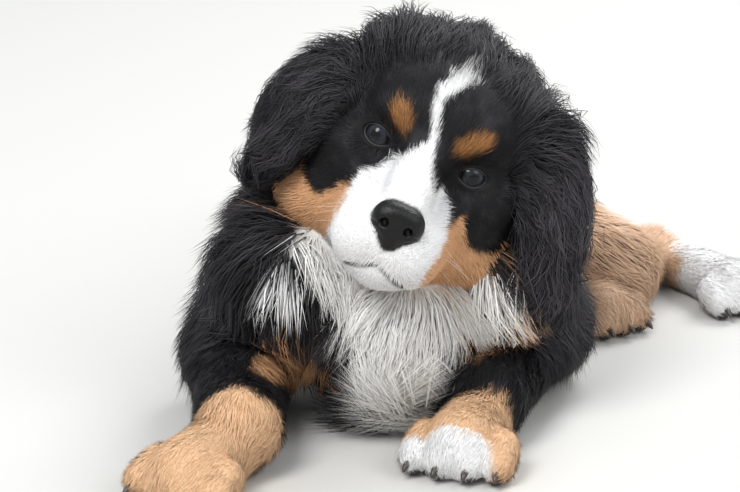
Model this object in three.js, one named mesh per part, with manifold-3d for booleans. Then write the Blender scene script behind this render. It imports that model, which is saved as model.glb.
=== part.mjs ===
// A Bernese mountain dog puppy of about nine weeks, life size, lying down with its head tilted.
// Millimetres, +Z up. The puppy faces -Y and its own left side is +X. Its chest, belly, elbows, legs,
// paws and tail rest on one level. It is laid out on a floor whose origin is under the point between
// the eyes, and the last lines move it so that the origin is under the middle of the whole animal.
//
// Each part is a few balls, tapered bars and ovals that run smoothly into each other: the flesh. A
// shell is shrunk onto that form from outside, grown by part of the depth of the coat, and flat,
// tapered locks that bend along the lie of the coat stand on it, out to the tips.
import * as THREE from "three";
import Module from "manifold-3d";

const wasm = await Module();
wasm.setup();

// The head
const eyeHeight = 150; // of the point between the eyes, over the floor
const eyeSpacing = 49; // between the middles of the eyeballs
const eyeRadius = 9.6;
const eyeSetBack = 5.5; // of the eyeballs' middles behind that point
const headTilt = 23.5; // degrees, its own left side down
const headPitch = 1.5; // degrees, nose above level
const headTurn = 5.5; // degrees, nose towards its own right
const muzzleReach = 62; // from between the eyes to the tip of the nose
const lidThickness = 2.1;
const lidOpening = [7.9, 14, 5.6]; // half sizes of the oval that opens the lids: wide, deep, high
const mouthWidth = 2.6; // of the groove between the lips

// The depth of the coat, from the skin to the tips
const coat = {
  face: 3,
  crown: 17,
  ear: 9,
  neck: 24,
  torso: 20,
  upperArm: 17,
  forearm: 7,
  paw: 3,
  thigh: 14,
  shank: 9,
  tail: 20,
};
const core = 0.42; // how much of that depth the shells take up, under the locks

// Joints of the legs, with the radius of the flesh there
const legs = {
  front_right: {
    shoulder: [-72, 18, 78, 32],
    elbow: [-98, 40, 28, 24],
    wrist: [-94, -57, 24, 21],
    toes: [-118, -96, 14, 18.5],
  },
  front_left: {
    shoulder: [38, 26, 76, 29],
    elbow: [64, 82, 28, 22],
    wrist: [33, -14, 24, 19],
    toes: [18, -58, 14, 18.5],
  },
  hind_right: {
    hip: [0, 258, 42, 38],
    knee: [50, 164, 25, 22],
    hock: [66, 236, 15, 12],
    toes: [108, 162, 13, 15.5],
  },
  hind_left: {
    hip: [34, 258, 60, 38],
    knee: [115, 200, 25, 21],
    hock: [148, 272, 17, 12],
    toes: [192, 204, 13, 15.5],
  },
};
const frontLegs = ["front_right", "front_left"];
const hindLegs = ["hind_right", "hind_left"];
const toeSpread = { front: 12.5, hind: 11 };
const toeRadius = { front: 10, hind: 9 };
const clawLength = 8.7;
const clawRadius = 2.1;

// The tail's line and the radius of its flesh at each point
const tailLine = [
  [-4, 318, 56, 16],
  [-22, 360, 28, 12],
  [-50, 388, 17, 11],
  [-80, 390, 15, 9],
];

const gap = 0.34; // between touching pieces
const floorBlock = [1000, 1400, 60]; // the block whose top makes the resting flats
const seed = 12;

const V = (x, y, z) => new THREE.Vector3(x, y, z);
const at = ([x, y, z]) => V(x, y, z);
const rad = THREE.MathUtils.degToRad;
const mix = THREE.MathUtils.lerp;
const { clamp, smoothstep } = THREE.MathUtils;
const bothSides = (make) => [make(-1), make(1)];
const down = V(0, 0, -1);

// A seeded random number from -1 to 1
let state = seed;
function chance() {
  state = (state * 1664525 + 1013904223) % 4294967296;
  return (state / 4294967296) * 2 - 1;
}

// The head's own directions: left, ahead and up, seen from the puppy
const eyePoint = V(0, 0, eyeHeight);
const headFrame = (() => {
  const ahead = V(
    -Math.sin(rad(headTurn)) * Math.cos(rad(headPitch)),
    -Math.cos(rad(headTurn)) * Math.cos(rad(headPitch)),
    Math.sin(rad(headPitch)),
  );
  const side = V(0, 0, 1).cross(ahead).normalize();
  const top = ahead.clone().cross(side);
  const c = Math.cos(rad(headTilt));
  const s = Math.sin(rad(headTilt));
  const left = side.clone().multiplyScalar(c).addScaledVector(top, -s);
  const up = top.clone().multiplyScalar(c).addScaledVector(side, s);
  return { left, ahead, up };
})();
const headAxes = [headFrame.left, headFrame.ahead, headFrame.up];

// A direction of the head, and a point given by how far it is left of, ahead of and above the eyes
function headWay(left, ahead, up) {
  return V(0, 0, 0)
    .addScaledVector(headFrame.left, left)
    .addScaledVector(headFrame.ahead, ahead)
    .addScaledVector(headFrame.up, up);
}
const onHead = (left, ahead, up) => headWay(left, ahead, up).add(eyePoint);
function inHead(p) {
  const d = p.clone().sub(eyePoint);
  return { left: d.dot(headFrame.left), ahead: d.dot(headFrame.ahead), up: d.dot(headFrame.up) };
}

// Forms. Each gives a rough signed distance, below 0 inside.
function ball(centre, r) {
  return (p) => p.distanceTo(centre) - r;
}

function bar(a, b, ra, rb) {
  const along = b.clone().sub(a);
  const length2 = along.lengthSq();
  return (p) => {
    const t = clamp(p.clone().sub(a).dot(along) / length2, 0, 1);
    return p.distanceTo(a.clone().addScaledVector(along, t)) - mix(ra, rb, t);
  };
}

// A bar between two joints, which give their own radius
const limb = (a, b) => bar(at(a), at(b), a[3], b[3]);

// An oval with its half sizes along three directions
function oval(centre, half, axes) {
  return (p) => {
    const d = p.clone().sub(centre);
    const parts = axes.map((axis, i) => d.dot(axis) / half[i]);
    const near = Math.hypot(...parts);
    const steep = Math.hypot(...parts.map((x, i) => x / half[i]));
    return steep < 1e-9 ? -Math.min(...half) : (near * (near - 1)) / steep;
  };
}

// Forms run into each other over about the given width
function joined(forms, width) {
  return (p) => {
    let d = forms[0](p);
    for (let i = 1; i < forms.length; i++) {
      const e = forms[i](p);
      const h = Math.max(width - Math.abs(d - e), 0) / width;
      d = Math.min(d, e) - (h * h * width) / 4;
    }
    return d;
  };
}

// A form with others taken out of it, the rim softened over about the given width
function hollowed(form, hollows, width) {
  return (p) => {
    let d = form(p);
    for (const hollow of hollows) {
      const e = -hollow(p);
      const h = Math.max(width - Math.abs(d - e), 0) / width;
      d = Math.max(d, e) + (h * h * width) / 4;
    }
    return d;
  };
}

function slope(form, p) {
  const e = 0.5;
  const rise = (x, y, z) => form(p.clone().add(V(x, y, z))) - form(p.clone().sub(V(x, y, z)));
  return V(rise(e, 0, 0), rise(0, e, 0), rise(0, 0, e)).normalize();
}

// Moves a point onto a level of a form
function settle(point, form, level) {
  const p = point.clone();
  for (let i = 0; i < 4; i++) p.addScaledVector(slope(form, p), level - form(p));
  return p;
}

// The flesh of each part, under the coat
const muzzle = joined(
  [
    bar(onHead(0, 4, -2), onHead(0, 46, -18), 15, 10.5),
    ...bothSides((s) => bar(onHead(s * 14, 4, -33), onHead(s * 12.5, 41, -40), 20, 16)),
    oval(onHead(0, 46, -32), [18, 10, 14], headAxes),
  ],
  10,
);
const jaw = joined(
  [
    bar(onHead(0, 42, -53), onHead(0, -2, -52), 9.5, 16),
    ...bothSides((s) => bar(onHead(s * 8, 30, -50), onHead(s * 27, -26, -44), 9, 20)),
  ],
  10,
);
const skull = joined(
  [
    oval(onHead(0, -40, 13), [49, 47, 40], headAxes),
    oval(onHead(0, -10, 15), [33, 18, 22], headAxes),
    ...bothSides((s) => ball(onHead(s * 21, -5, 15), 11)),
    ...bothSides((s) => oval(onHead(s * 34, -20, -14), [22, 26, 20], headAxes)),
    ...bothSides((s) => oval(onHead(s * 39, -24, -40), [19, 25, 22], headAxes)),
    ball(onHead(0, -42, -32), 32),
  ],
  14,
);
const sockets = bothSides((s) => ball(onHead(s * 27, 15, -1), 14));
const bareHead = hollowed(joined([skull, muzzle, jaw], 12), sockets, 7);

// The coat of the head is deeper on the cheeks and the crown than on the face, deepest over the folds of
// the ears, and lies flatter under them, so its depth is part of the form
const flesh = {};
flesh.head = (p) => bareHead(p) - mix(coat.face / 2, coat.crown * core, headCoat(p));
function headCoat(p) {
  const { left, ahead, up } = inHead(p);
  const level = smoothstep(up, -62, -44) * smoothstep(-up, -34, -16);
  const underEar = smoothstep(Math.abs(left), 34, 44) * smoothstep(ahead, -70, -52) * level;
  const overFold = smoothstep(Math.abs(left), 24, 44) * smoothstep(up, 18, 32);
  return clamp((10 - ahead) / 50, 0, 1) * (1 - 0.35 * underEar) * (1 + 0.5 * overFold);
}

flesh.neck = joined(
  [
    bar(V(-12, 92, 98), onHead(0, -62, -4), 45, 40),
    bar(V(-12, 44, 84), onHead(0, -40, -34), 34, 28),
  ],
  20,
);
flesh.torso = joined(
  [
    bar(V(-15, 50, 60), V(-8, 185, 58), 53, 57),
    bar(V(-8, 185, 58), V(8, 262, 55), 56, 52),
    ball(V(8, 282, 57), 50),
    ball(V(-15, 32, 52), 38),
    bar(V(-14, 105, 106), V(-10, 175, 86), 33, 36),
    bar(V(-56, 80, 106), V(-75, 23, 77), 28, 27),
    bar(V(14, 90, 102), V(36, 30, 74), 24, 22),
  ],
  26,
);
flesh.tail = joined(
  tailLine.slice(1).map((point, i) => limb(tailLine[i], point)),
  8,
);

// The way a paw points, and its four toes side by side, the middle two further ahead
function pawOf(name) {
  const front = name.startsWith("front");
  const size = front ? "front" : "hind";
  const leg = legs[name];
  const heel = at(front ? leg.wrist : leg.hock);
  const tip = at(leg.toes);
  const ahead = tip.clone().sub(heel).setZ(0).normalize();
  const across = V(-ahead.y, ahead.x, 0);
  const radius = toeRadius[size];
  const toes = [-1.5, -0.5, 0.5, 1.5].map((k) => {
    const middle = Math.abs(k) < 1;
    const way = ahead.clone().addScaledVector(across, k * 0.13).normalize();
    const root = tip
      .clone()
      .addScaledVector(across, k * toeSpread[size])
      .addScaledVector(ahead, middle ? -3 : -5.2)
      .setZ(radius + 4);
    const end = root.clone().addScaledVector(way, radius * 1.35).setZ(radius - 0.5);
    return { root, end, way, radius };
  });
  const start = heel.lerp(tip, front ? 0.28 : 0.06).setZ(front ? 17 : 14);
  return { start, tip, toes, startRadius: front ? 17 : 11.5, tipRadius: leg.toes[3] };
}

for (const name of frontLegs) {
  const { shoulder, elbow, wrist } = legs[name];
  flesh[name + "_upper_arm"] = limb(shoulder, elbow);
  flesh[name + "_forearm"] = joined([limb(elbow, wrist), ball(at(wrist), 18)], 8);
}
for (const name of hindLegs) {
  const { hip, knee, hock } = legs[name];
  flesh[name + "_thigh"] = joined([limb(hip, knee), ball(at(knee), knee[3])], 8);
  flesh[name + "_shank"] = bar(at(knee), at(hock), 20, hock[3]);
}

// A direction across a line, level where it can be
function pickSide(along) {
  const across = V(0, 0, 1).cross(along);
  if (across.lengthSq() < 0.05) across.set(1, 0, 0);
  return across.normalize();
}

const curveOf = (line) =>
  line.length > 2 ? new THREE.CatmullRomCurve3(line) : new THREE.LineCurve3(...line);

// A ray out of a curve: where along it, how far round it, and how far it leans past the end
function rayFrom(curve, share, turn, lean) {
  const tangent = curve.getTangentAt(share);
  const side = pickSide(curve.getTangentAt(0));
  const right = side.addScaledVector(tangent, -side.dot(tangent)).normalize();
  const over = tangent.clone().cross(right);
  const way = right
    .multiplyScalar(Math.cos(turn) * Math.cos(lean))
    .addScaledVector(over, Math.sin(turn) * Math.cos(lean))
    .addScaledVector(tangent, Math.sin(lean));
  return [curve.getPointAt(share), way];
}

// The place where a ray from outside meets a level of a form
const rayReach = 130;
const rayStep = 1.5;
const halvings = 14;
function meet(form, level, from, way) {
  const height = (s) => form(from.clone().addScaledVector(way, s)) - level;
  let low = rayReach;
  while (low > 1 && height(low) > 0) low -= rayStep;
  let high = low + rayStep;
  for (let i = 0; i < halvings; i++) {
    const middle = (low + high) / 2;
    if (height(middle) > 0) high = middle;
    else low = middle;
  }
  return from.clone().addScaledVector(way, low);
}

// Where the rings of rays stand: so many that lean back past the start of the line, so many along it,
// and so many that lean forward past its end
function stations([behind, along, ahead]) {
  const list = [];
  const quarter = Math.PI / 2;
  for (let i = behind; i > 0; i--) list.push([0, (-quarter * i) / (behind + 1)]);
  for (let i = 0; i < along; i++) list.push([along > 1 ? i / (along - 1) : 0.5, 0]);
  for (let i = 1; i <= ahead; i++) list.push([1, (quarter * i) / (ahead + 1)]);
  return list;
}

function shell(form, line, rings, sides, level) {
  const curve = curveOf(line);
  const all = stations(rings);
  const end = (share, way) =>
    meet(form, level, curve.getPointAt(share), curve.getTangentAt(share).multiplyScalar(way));
  const points = [end(0, -1)];
  all.forEach(([share, lean], i) => {
    for (let j = 0; j < sides; j++) {
      const turn = ((j + (i % 2) / 2) / sides) * 2 * Math.PI;
      points.push(meet(form, level, ...rayFrom(curve, share, turn, lean)));
    }
  });
  points.push(end(1, 1));
  return solidOfRings(points, all.length, sides, true);
}

// Closes a stack of rings between two end points. Each second ring may be turned by half a side.
function solidOfRings(points, rings, sides, turned) {
  const faces = [];
  const index = (i, j) => 1 + i * sides + ((j + sides) % sides);
  const last = points.length - 1;
  for (let j = 0; j < sides; j++) {
    faces.push([0, index(0, j + 1), index(0, j)]);
    faces.push([last, index(rings - 1, j), index(rings - 1, j + 1)]);
  }
  for (let i = 0; i < rings - 1; i++) {
    const later = turned && i % 2 === 0;
    for (let j = 0; j < sides; j++) {
      const [a, b] = [index(i, j), index(i, j + 1)];
      const [c, d] = [index(i + 1, j), index(i + 1, j + 1)];
      faces.push(...(later ? [[a, b, c], [b, d, c]] : [[a, b, d], [a, d, c]]));
    }
  }
  return solid(points, faces);
}

function solid(points, faces) {
  const vertProperties = new Float32Array(points.flatMap((p) => [p.x, p.y, p.z]));
  const make = (list) =>
    new wasm.Manifold(
      new wasm.Mesh({ numProp: 3, vertProperties, triVerts: new Uint32Array(list.flat()) }),
    );
  const made = make(faces);
  return made.volume() > 0 ? made : make(faces.map(([a, b, c]) => [a, c, b]));
}

// A three.js geometry as a solid
function solidOf(geometry) {
  const position = geometry.getAttribute("position");
  const corners = geometry.index ? [...geometry.index.array] : [...Array(position.count).keys()];
  const points = [];
  const seen = new Map();
  const merged = corners.map((corner) => {
    const p = V(0, 0, 0).fromBufferAttribute(position, corner);
    const key = p.toArray().map((x) => x.toFixed(3)).join();
    if (!seen.has(key)) seen.set(key, points.push(p) - 1);
    return seen.get(key);
  });
  const faces = [];
  for (let i = 0; i < merged.length; i += 3) faces.push(merged.slice(i, i + 3));
  return solid(points, faces);
}

const sphere = (centre, radius, detail) =>
  solidOf(new THREE.IcosahedronGeometry(radius, detail).translate(...centre.toArray()));

// An oval as a solid, its rings round its second axis
function ovalSolid(centre, half, axes, sides, rings) {
  const place = (x, y, z) =>
    centre
      .clone()
      .addScaledVector(axes[0], half[0] * x)
      .addScaledVector(axes[1], half[1] * y)
      .addScaledVector(axes[2], half[2] * z);
  const points = [place(0, -1, 0)];
  for (let i = 1; i <= rings; i++) {
    const lean = (i / (rings + 1) - 0.5) * Math.PI;
    for (let j = 0; j < sides; j++) {
      const turn = (j / sides) * 2 * Math.PI;
      const out = Math.cos(lean);
      points.push(place(out * Math.cos(turn), Math.sin(lean), out * Math.sin(turn)));
    }
  }
  points.push(place(0, 1, 0));
  return solidOfRings(points, rings, sides, false);
}

// A bent rod with pointed ends, whose rings may be flat and change in size
function rod(path, rings, sides, radiusAt, grow) {
  const curve = new THREE.CatmullRomCurve3(path);
  const points = [curve.getPoint(0).addScaledVector(curve.getTangent(0), -1 - grow)];
  for (let i = 0; i < rings; i++) {
    const t = i / (rings - 1);
    const tangent = curve.getTangent(t);
    const across = pickSide(tangent);
    const over = tangent.clone().cross(across);
    const radius = radiusAt(t) + grow;
    for (let j = 0; j < sides; j++) {
      const turn = (j / sides) * 2 * Math.PI;
      points.push(
        curve
          .getPoint(t)
          .addScaledVector(across, radius * Math.cos(turn))
          .addScaledVector(over, radius * Math.sin(turn)),
      );
    }
  }
  points.push(curve.getPoint(1).addScaledVector(curve.getTangent(1), 1 + grow));
  return solidOfRings(points, rings, sides, false);
}

const unite = (solids) => wasm.Manifold.union(solids);

function largest(made) {
  const pieces = made.decompose();
  return pieces.reduce((best, next) => (next.volume() > best.volume() ? next : best));
}

// Locks. Each is a flat, tapered blade of diamond section. Its root is sunk into the shell, it runs
// along the lie of the coat and rises to its tip at the coat's full depth.
const lockStages = [0, 0.4, 0.76]; // of the length
const lockWidths = [0.8, 1, 0.58]; // of the width
const lockThicks = [0.7, 1, 0.66]; // of the thickness
const rootSink = 5;
const rise = 1.15; // how late a lock lifts off: 1 is evenly
const sideGrow = 1.6; // the edges are sharp, so they take more of the gap
const tipGrow = 3; // and the tips still more

function lockFrom(path, size, grow) {
  const past = (end, before, far) =>
    end.at.clone().addScaledVector(end.at.clone().sub(before.at).normalize(), far);
  const points = [past(path[0], path[1], 1 + grow)];
  lockStages.forEach((_, i) => {
    const { at: centre, along, out } = path[i];
    const across = along.clone().cross(out).normalize();
    const w = (lockWidths[i] * size.width) / 2 + grow * sideGrow;
    const h = (lockThicks[i] * size.thick) / 2 + grow;
    points.push(centre.clone().addScaledVector(across, w));
    points.push(centre.clone().addScaledVector(out, h));
    points.push(centre.clone().addScaledVector(across, -w));
    points.push(centre.clone().addScaledVector(out, -h));
  });
  const last = lockStages.length;
  points.push(past(path[last], path[last - 1], grow * tipGrow));
  return solidOfRings(points, lockStages.length, 4, false);
}

// The line of a lock over a form, from its root on the shell
function pathOver(form, level, root, way, size) {
  const p = root.clone();
  const along = way.clone();
  const all = [...lockStages, 1];
  return all.map((t, i) => {
    if (i > 0) {
      p.addScaledVector(along, size.length * (t - all[i - 1]));
      p.copy(settle(p, form, level));
    }
    const out = slope(form, p);
    along.applyAxisAngle(out, i > 0 ? size.curl / lockStages.length : 0);
    along.addScaledVector(out, -along.dot(out)).normalize();
    const height = mix(-rootSink, size.lift, t ** rise);
    return { at: p.clone().addScaledVector(out, height), along: along.clone(), out };
  });
}

// How much the locks of one kind differ
function varied(size) {
  return {
    length: size.length * (1 + 0.16 * chance()),
    width: size.width * (1 + 0.15 * chance()),
    thick: size.thick * (1 + 0.15 * chance()),
    lift: size.lift * (1 + 0.12 * chance()),
    curl: 0.45 * chance(),
  };
}

// Spreads locks over a part: where the rays of each station meet its shell, if the place is free
function spreadLocks({ form, level, line, rings, sides, size, lie, free }) {
  const curve = curveOf(line);
  const paths = [];
  stations(rings).forEach(([share, lean], i) => {
    const around = Math.max(Math.round(sides * Math.cos(lean)), 3);
    for (let j = 0; j < around; j++) {
      const turn = ((j + (i % 2) / 2 + 0.22 * chance()) / around) * 2 * Math.PI;
      const moved = clamp(share + 0.02 * chance(), 0, 1);
      const own = varied(size);
      const root = meet(form, level, ...rayFrom(curve, moved, turn, lean));
      if (root.z > lowestRoot && free(root)) {
        paths.push([pathOver(form, level, root, lie(root).normalize(), own), own]);
      }
    }
  });
  return (grow) => paths.map(([path, own]) => lockFrom(path, own, grow));
}
const lowestRoot = 16;

// Whether a place is well outside the shells of the other parts
const levels = {};
function clearOf(names, margin) {
  return (p) => names.every((name) => flesh[name](p) - levels[name] > margin);
}

// The makers give the solid of each node, grown by the given amount
const makers = {};

// The eyes
const eyeAt = (s) => onHead((s * eyeSpacing) / 2, -eyeSetBack, 0);
const eyeWay = (s) => headWay(s * 0.3, 0.95, 0.05).normalize();
makers.eye_right = (grow) => sphere(eyeAt(-1), eyeRadius + grow, 2);
makers.eye_left = (grow) => sphere(eyeAt(1), eyeRadius + grow, 2);

// The nose pad, broad and rounded above and narrow below, with a nostril on each side
const noseDepth = muzzleReach - 7;
const noseForm = joined(
  [
    oval(onHead(0, noseDepth, -18.5), [11, 7, 6], headAxes),
    ...bothSides((s) => oval(onHead(s * 7, noseDepth, -23), [6.6, 6.6, 7], headAxes)),
    oval(onHead(0, noseDepth, -30), [6.5, 6, 8], headAxes),
  ],
  5,
);
makers.nose = (grow) => {
  const line = [onHead(0, 48, -23), onHead(0, noseDepth, -23)];
  const pad = shell(noseForm, line, [1, 2, 4], 14, grow);
  if (grow > 0) return pad;
  const nostrils = bothSides((s) => {
    const deep = headWay(s * 0.6, 0.8, 0).normalize();
    const wide = deep.clone().cross(headWay(s * -0.35, 0, 1)).normalize();
    const axes = [wide, deep, wide.clone().cross(deep)];
    return ovalSolid(onHead(s * 7.6, muzzleReach - 2, -23.5), [2.6, 5.5, 3.4], axes, 7, 3);
  });
  return pad.subtract(unite(nostrils));
};

// The head: the lids are a thin ball round each eye, opened by an oval
levels.head = 0;
const headLine = [onHead(0, -52, 3), onHead(0, -18, -7)];
const mouthHalf = [
  [0, 56, -45],
  [11, 52, -51],
  [20, 42, -56],
  [27, 28, -56],
  [33, 11, -49],
];
const crownLocks = spreadLocks({
  form: flesh.head,
  level: levels.head,
  line: headLine,
  rings: [1, 2, 3],
  sides: 9,
  size: { length: 46, width: 27, thick: 5, lift: coat.crown * (1 - core) },
  lie: (p) => headWay(inHead(p).left / 90, -1, inHead(p).up > 0 ? 0.25 : -1),
  free: (p) => {
    const { left, ahead, up } = inHead(p);
    const onCrown = up > 34 && ahead < -8;
    const onCheek = up < -40 && up > -64 && Math.abs(left) > 30 && ahead < -2;
    return (onCrown || onCheek) && ahead > -72;
  },
});
makers.head = (grow) => {
  const skin = shell(flesh.head, headLine, [2, 3, 13], 30, levels.head + grow);
  const covered = unite([skin, ...crownLocks(grow)]);
  if (grow > 0) return covered;
  const lids = bothSides((s) => sphere(eyeAt(s), eyeRadius + lidThickness, 2));
  const openings = bothSides((s) => {
    const deep = eyeWay(s);
    const wide = deep.clone().cross(headWay(s * 0.12, 0, 1)).normalize();
    const centre = eyeAt(s).addScaledVector(deep, lidOpening[1]);
    return ovalSolid(centre, lidOpening, [wide, deep, wide.clone().cross(deep)], 12, 5);
  });
  const balls = [makers.eye_right(gap), makers.eye_left(gap)];
  const half = (s) => mouthHalf.map(([l, a, u]) => settle(onHead(s * l, a, u), flesh.head, 0));
  const lips = [...half(-1).slice(1).reverse(), ...half(1)];
  const mouth = rod(lips, 2 * lips.length, 5, () => mouthWidth / 2, 0);
  return unite([covered, ...lids]).subtract(unite([...balls, ...openings, mouth]));
};

// The ears: a flap that hangs over the cheek from a long fold on the side of the skull, cupped towards
// the head. The tilt of the head lets the left one hang free. Each row gives how far its front edge is
// out to the side, ahead and up, and then the same of its back edge.
const earRows = {
  right: [
    [30, -24, 20, 37, -54, 20],
    [41, -18, 20, 54, -56, 21],
    [48, -10, 12, 69, -51, 14],
    [53, -4, 0, 80, -43, 3],
    [58, -1, -13, 85, -36, -10],
    [64, -3, -27, 83, -30, -24],
    [69, -8, -38, 80, -22, -36],
    [75, -15, -48, 75, -15, -48],
  ],
  left: [
    [31, -24, 26, 39, -54, 29],
    [42, -18, 23, 54, -56, 32],
    [48, -12, 12, 67, -51, 26],
    [57, -7, -1, 79, -43, 14],
    [65, -5, -15, 88, -36, 0],
    [72, -6, -29, 93, -30, -16],
    [78, -10, -42, 90, -22, -35],
    [83, -16, -54, 83, -16, -54],
  ],
};
const earThickness = 6;
const earSides = 10;
const earCup = 0.22; // of the half width, how far the edges curl in towards the head
const earSteps = earRows.left.length - 1;

function earRow(side, i) {
  const [a, b, c, d, e, f] = earRows[side > 0 ? "left" : "right"][i];
  return [onHead(side * a, b, c), onHead(side * d, e, f)];
}

// A place on the middle of an ear's flap: t from the fold to the tip, v from the front edge (-1) to the
// back edge (1), with the directions along, across and out of it
function onEar(side, t, v) {
  const i = clamp(Math.floor(t * earSteps), 0, earSteps - 1);
  const u = t * earSteps - i;
  const [frontA, backA] = earRow(side, i);
  const [frontB, backB] = earRow(side, i + 1);
  const [front0, back0] = earRow(side, Math.min(i, earSteps - 2));
  const front = frontA.clone().lerp(frontB, u);
  const rear = backA.clone().lerp(backB, u);
  const half = front.distanceTo(rear) / 2;
  const along = frontB.clone().add(backB).sub(frontA).sub(backA).normalize();
  const across = back0.sub(front0).normalize();
  const out = along.clone().cross(across).multiplyScalar(side).normalize();
  const middle = front.lerp(rear, 0.5);
  const bow = earCup * half * (0.5 - v * v);
  middle.addScaledVector(across, v * half).addScaledVector(out, bow);
  return { at: middle, along, across, out, half };
}

function earFlap(side, grow) {
  const points = [];
  const thick = earThickness / 2 + coat.ear * core * 0.3 + grow;
  for (let i = 0; i < earSteps; i++) {
    const t = i / earSteps;
    if (i === 0) {
      const fold = onEar(side, t, 0);
      points.push(fold.at.addScaledVector(fold.along, -2 - grow));
    }
    for (let j = 0; j < earSides; j++) {
      const turn = (j / earSides) * 2 * Math.PI;
      const place = onEar(side, t, Math.cos(turn));
      const w = Math.sign(Math.sin(turn)) * Math.abs(Math.sin(turn)) ** 0.7;
      place.at.addScaledVector(place.across, Math.cos(turn) * grow);
      points.push(place.at.addScaledVector(place.out, w * thick));
    }
  }
  const tip = onEar(side, 1, 0);
  points.push(tip.at.addScaledVector(tip.along, grow));
  return solidOfRings(points, earSteps, earSides, false);
}

// Locks of the ear start in rows on its outer side and run past its edges and its tip
const earLockRows = [
  [0.14, 3],
  [0.43, 4],
  [0.72, 3],
];
function earLocks(side) {
  const size = { length: 43, width: 20, thick: 4.2, lift: coat.ear * (1 - core) };
  const paths = [];
  for (const [t, count] of earLockRows) {
    for (let k = 0; k < count; k++) {
      const v = ((k + 0.5) / count) * 1.7 - 0.85 + 0.08 * chance();
      const own = varied(size);
      const fan = 0.25 * v + 0.15 * chance();
      const path = [...lockStages, 1].map((stage, i) => {
        const far = Math.min(t + (stage * own.length) / 95, 0.93);
        const spot = onEar(side, far, clamp(v + stage * fan, -1, 1));
        const past = Math.max(t + (stage * own.length) / 95 - 0.93, 0) * 95;
        const height = mix(-1.5, own.lift + 3, Math.min(stage * 1.7, 1)) - 3 * stage * stage;
        const along = spot.along.clone().addScaledVector(spot.across, 2 * fan).normalize();
        spot.at.addScaledVector(along, past).addScaledVector(spot.out, height);
        return { at: spot.at, along, out: spot.out };
      });
      paths.push([path, own]);
    }
  }
  return (grow) => paths.map(([path, own]) => lockFrom(path, own, grow));
}
for (const [name, side] of [
  ["ear_right", -1],
  ["ear_left", 1],
]) {
  const locks = earLocks(side);
  makers[name] = (grow) => unite([earFlap(side, grow), ...locks(grow)]);
}

// The lie of the coat on the trunk: down the chest, and back and down over the ribs
const trunkMiddle = -10;
function trunkLie(p) {
  const chest = smoothstep(35 - p.y, 0, 45);
  const aside = clamp(Math.abs(p.x - trunkMiddle) / 55, 0, 1);
  const overRibs = V(0, 1, -0.2 - 0.8 * aside);
  return overRibs.lerp(V((p.x - trunkMiddle) / 90, -0.1, -1), chest);
}

// Parts with a shell over their flesh and locks on it
const shaggy = {
  neck: {
    line: [V(-12, 88, 96), onHead(0, -56, -8)],
    rings: [1, 4, 1],
    sides: 14,
    depth: coat.neck,
    lockRings: [0, 3, 0],
    lockSides: 7,
    size: { length: 58, width: 38, thick: 6 },
    lie: (p) => p.clone().sub(onHead(0, -30, 0)).normalize().addScaledVector(down, 0.7),
    others: ["head"],
  },
  torso: {
    line: [V(-14, 44, 60), V(-8, 180, 62), V(8, 280, 57)],
    rings: [2, 8, 2],
    sides: 16,
    depth: coat.torso,
    lockRings: [3, 5, 1],
    lockSides: 8,
    size: { length: 66, width: 38, thick: 6 },
    lie: trunkLie,
    others: [
      "head",
      "neck",
      "front_right_upper_arm",
      "front_left_upper_arm",
      "hind_right_thigh",
      "hind_left_thigh",
      "tail",
    ],
  },
  tail: {
    line: tailLine.map(at),
    rings: [1, 7, 1],
    sides: 8,
    depth: coat.tail,
    lockRings: [0, 3, 0],
    lockSides: 4,
    size: { length: 54, width: 26, thick: 5 },
    lie: (p) => {
      const near = tailLine.map(at).reduce((a, b) => (b.distanceTo(p) < a.distanceTo(p) ? b : a));
      return near.y > 370 ? V(-1, 0.1, -0.1) : V(-0.45, 0.9, -0.4);
    },
    others: ["torso"],
  },
};
for (const name of frontLegs) {
  const { shoulder, elbow, wrist } = legs[name];
  shaggy[name + "_upper_arm"] = {
    line: [at(shoulder), at(elbow)],
    rings: [2, 2, 2],
    sides: 12,
    depth: coat.upperArm,
    lockRings: [1, 2, 0],
    lockSides: 6,
    size: { length: 52, width: 30, thick: 5.5 },
    lie: () => V(0, 0.6, -0.8),
    others: ["head", "neck", "torso"],
  };
  shaggy[name + "_forearm"] = {
    line: [at(elbow), at(wrist)],
    rings: [1, 3, 2],
    sides: 12,
    depth: coat.forearm,
    lockRings: [0, 0, 0],
    lockSides: 0,
  };
}
for (const name of hindLegs) {
  const { hip, knee, hock } = legs[name];
  shaggy[name + "_thigh"] = {
    line: [at(hip), at(knee)],
    rings: [1, 3, 3],
    sides: 13,
    depth: coat.thigh,
    lockRings: [0, 3, 0],
    lockSides: 6,
    size: { length: 48, width: 32, thick: 5.5 },
    lie: () => at(knee).sub(at(hip)).normalize().addScaledVector(down, 0.35),
    others: ["torso"],
  };
  shaggy[name + "_shank"] = {
    line: [at(knee), at(hock)],
    rings: [1, 3, 2],
    sides: 12,
    depth: coat.shank,
    lockRings: [0, 2, 0],
    lockSides: 4,
    size: { length: 34, width: 19, thick: 4 },
    lie: () => at(hock).sub(at(knee)).normalize().addScaledVector(down, 0.3),
    others: [name + "_thigh"],
  };
}
for (const [name, own] of Object.entries(shaggy)) levels[name] = own.depth * core;
for (const [name, own] of Object.entries(shaggy)) {
  const locks = spreadLocks({
    form: flesh[name],
    level: levels[name],
    line: own.line,
    rings: own.lockRings,
    sides: own.lockSides,
    size: { ...own.size, lift: own.depth * (1 - core) },
    lie: own.lie,
    free: clearOf(own.others ?? [], 3),
  });
  makers[name] = (grow) =>
    unite([shell(flesh[name], own.line, own.rings, own.sides, levels[name] + grow), ...locks(grow)]);
}

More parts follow.
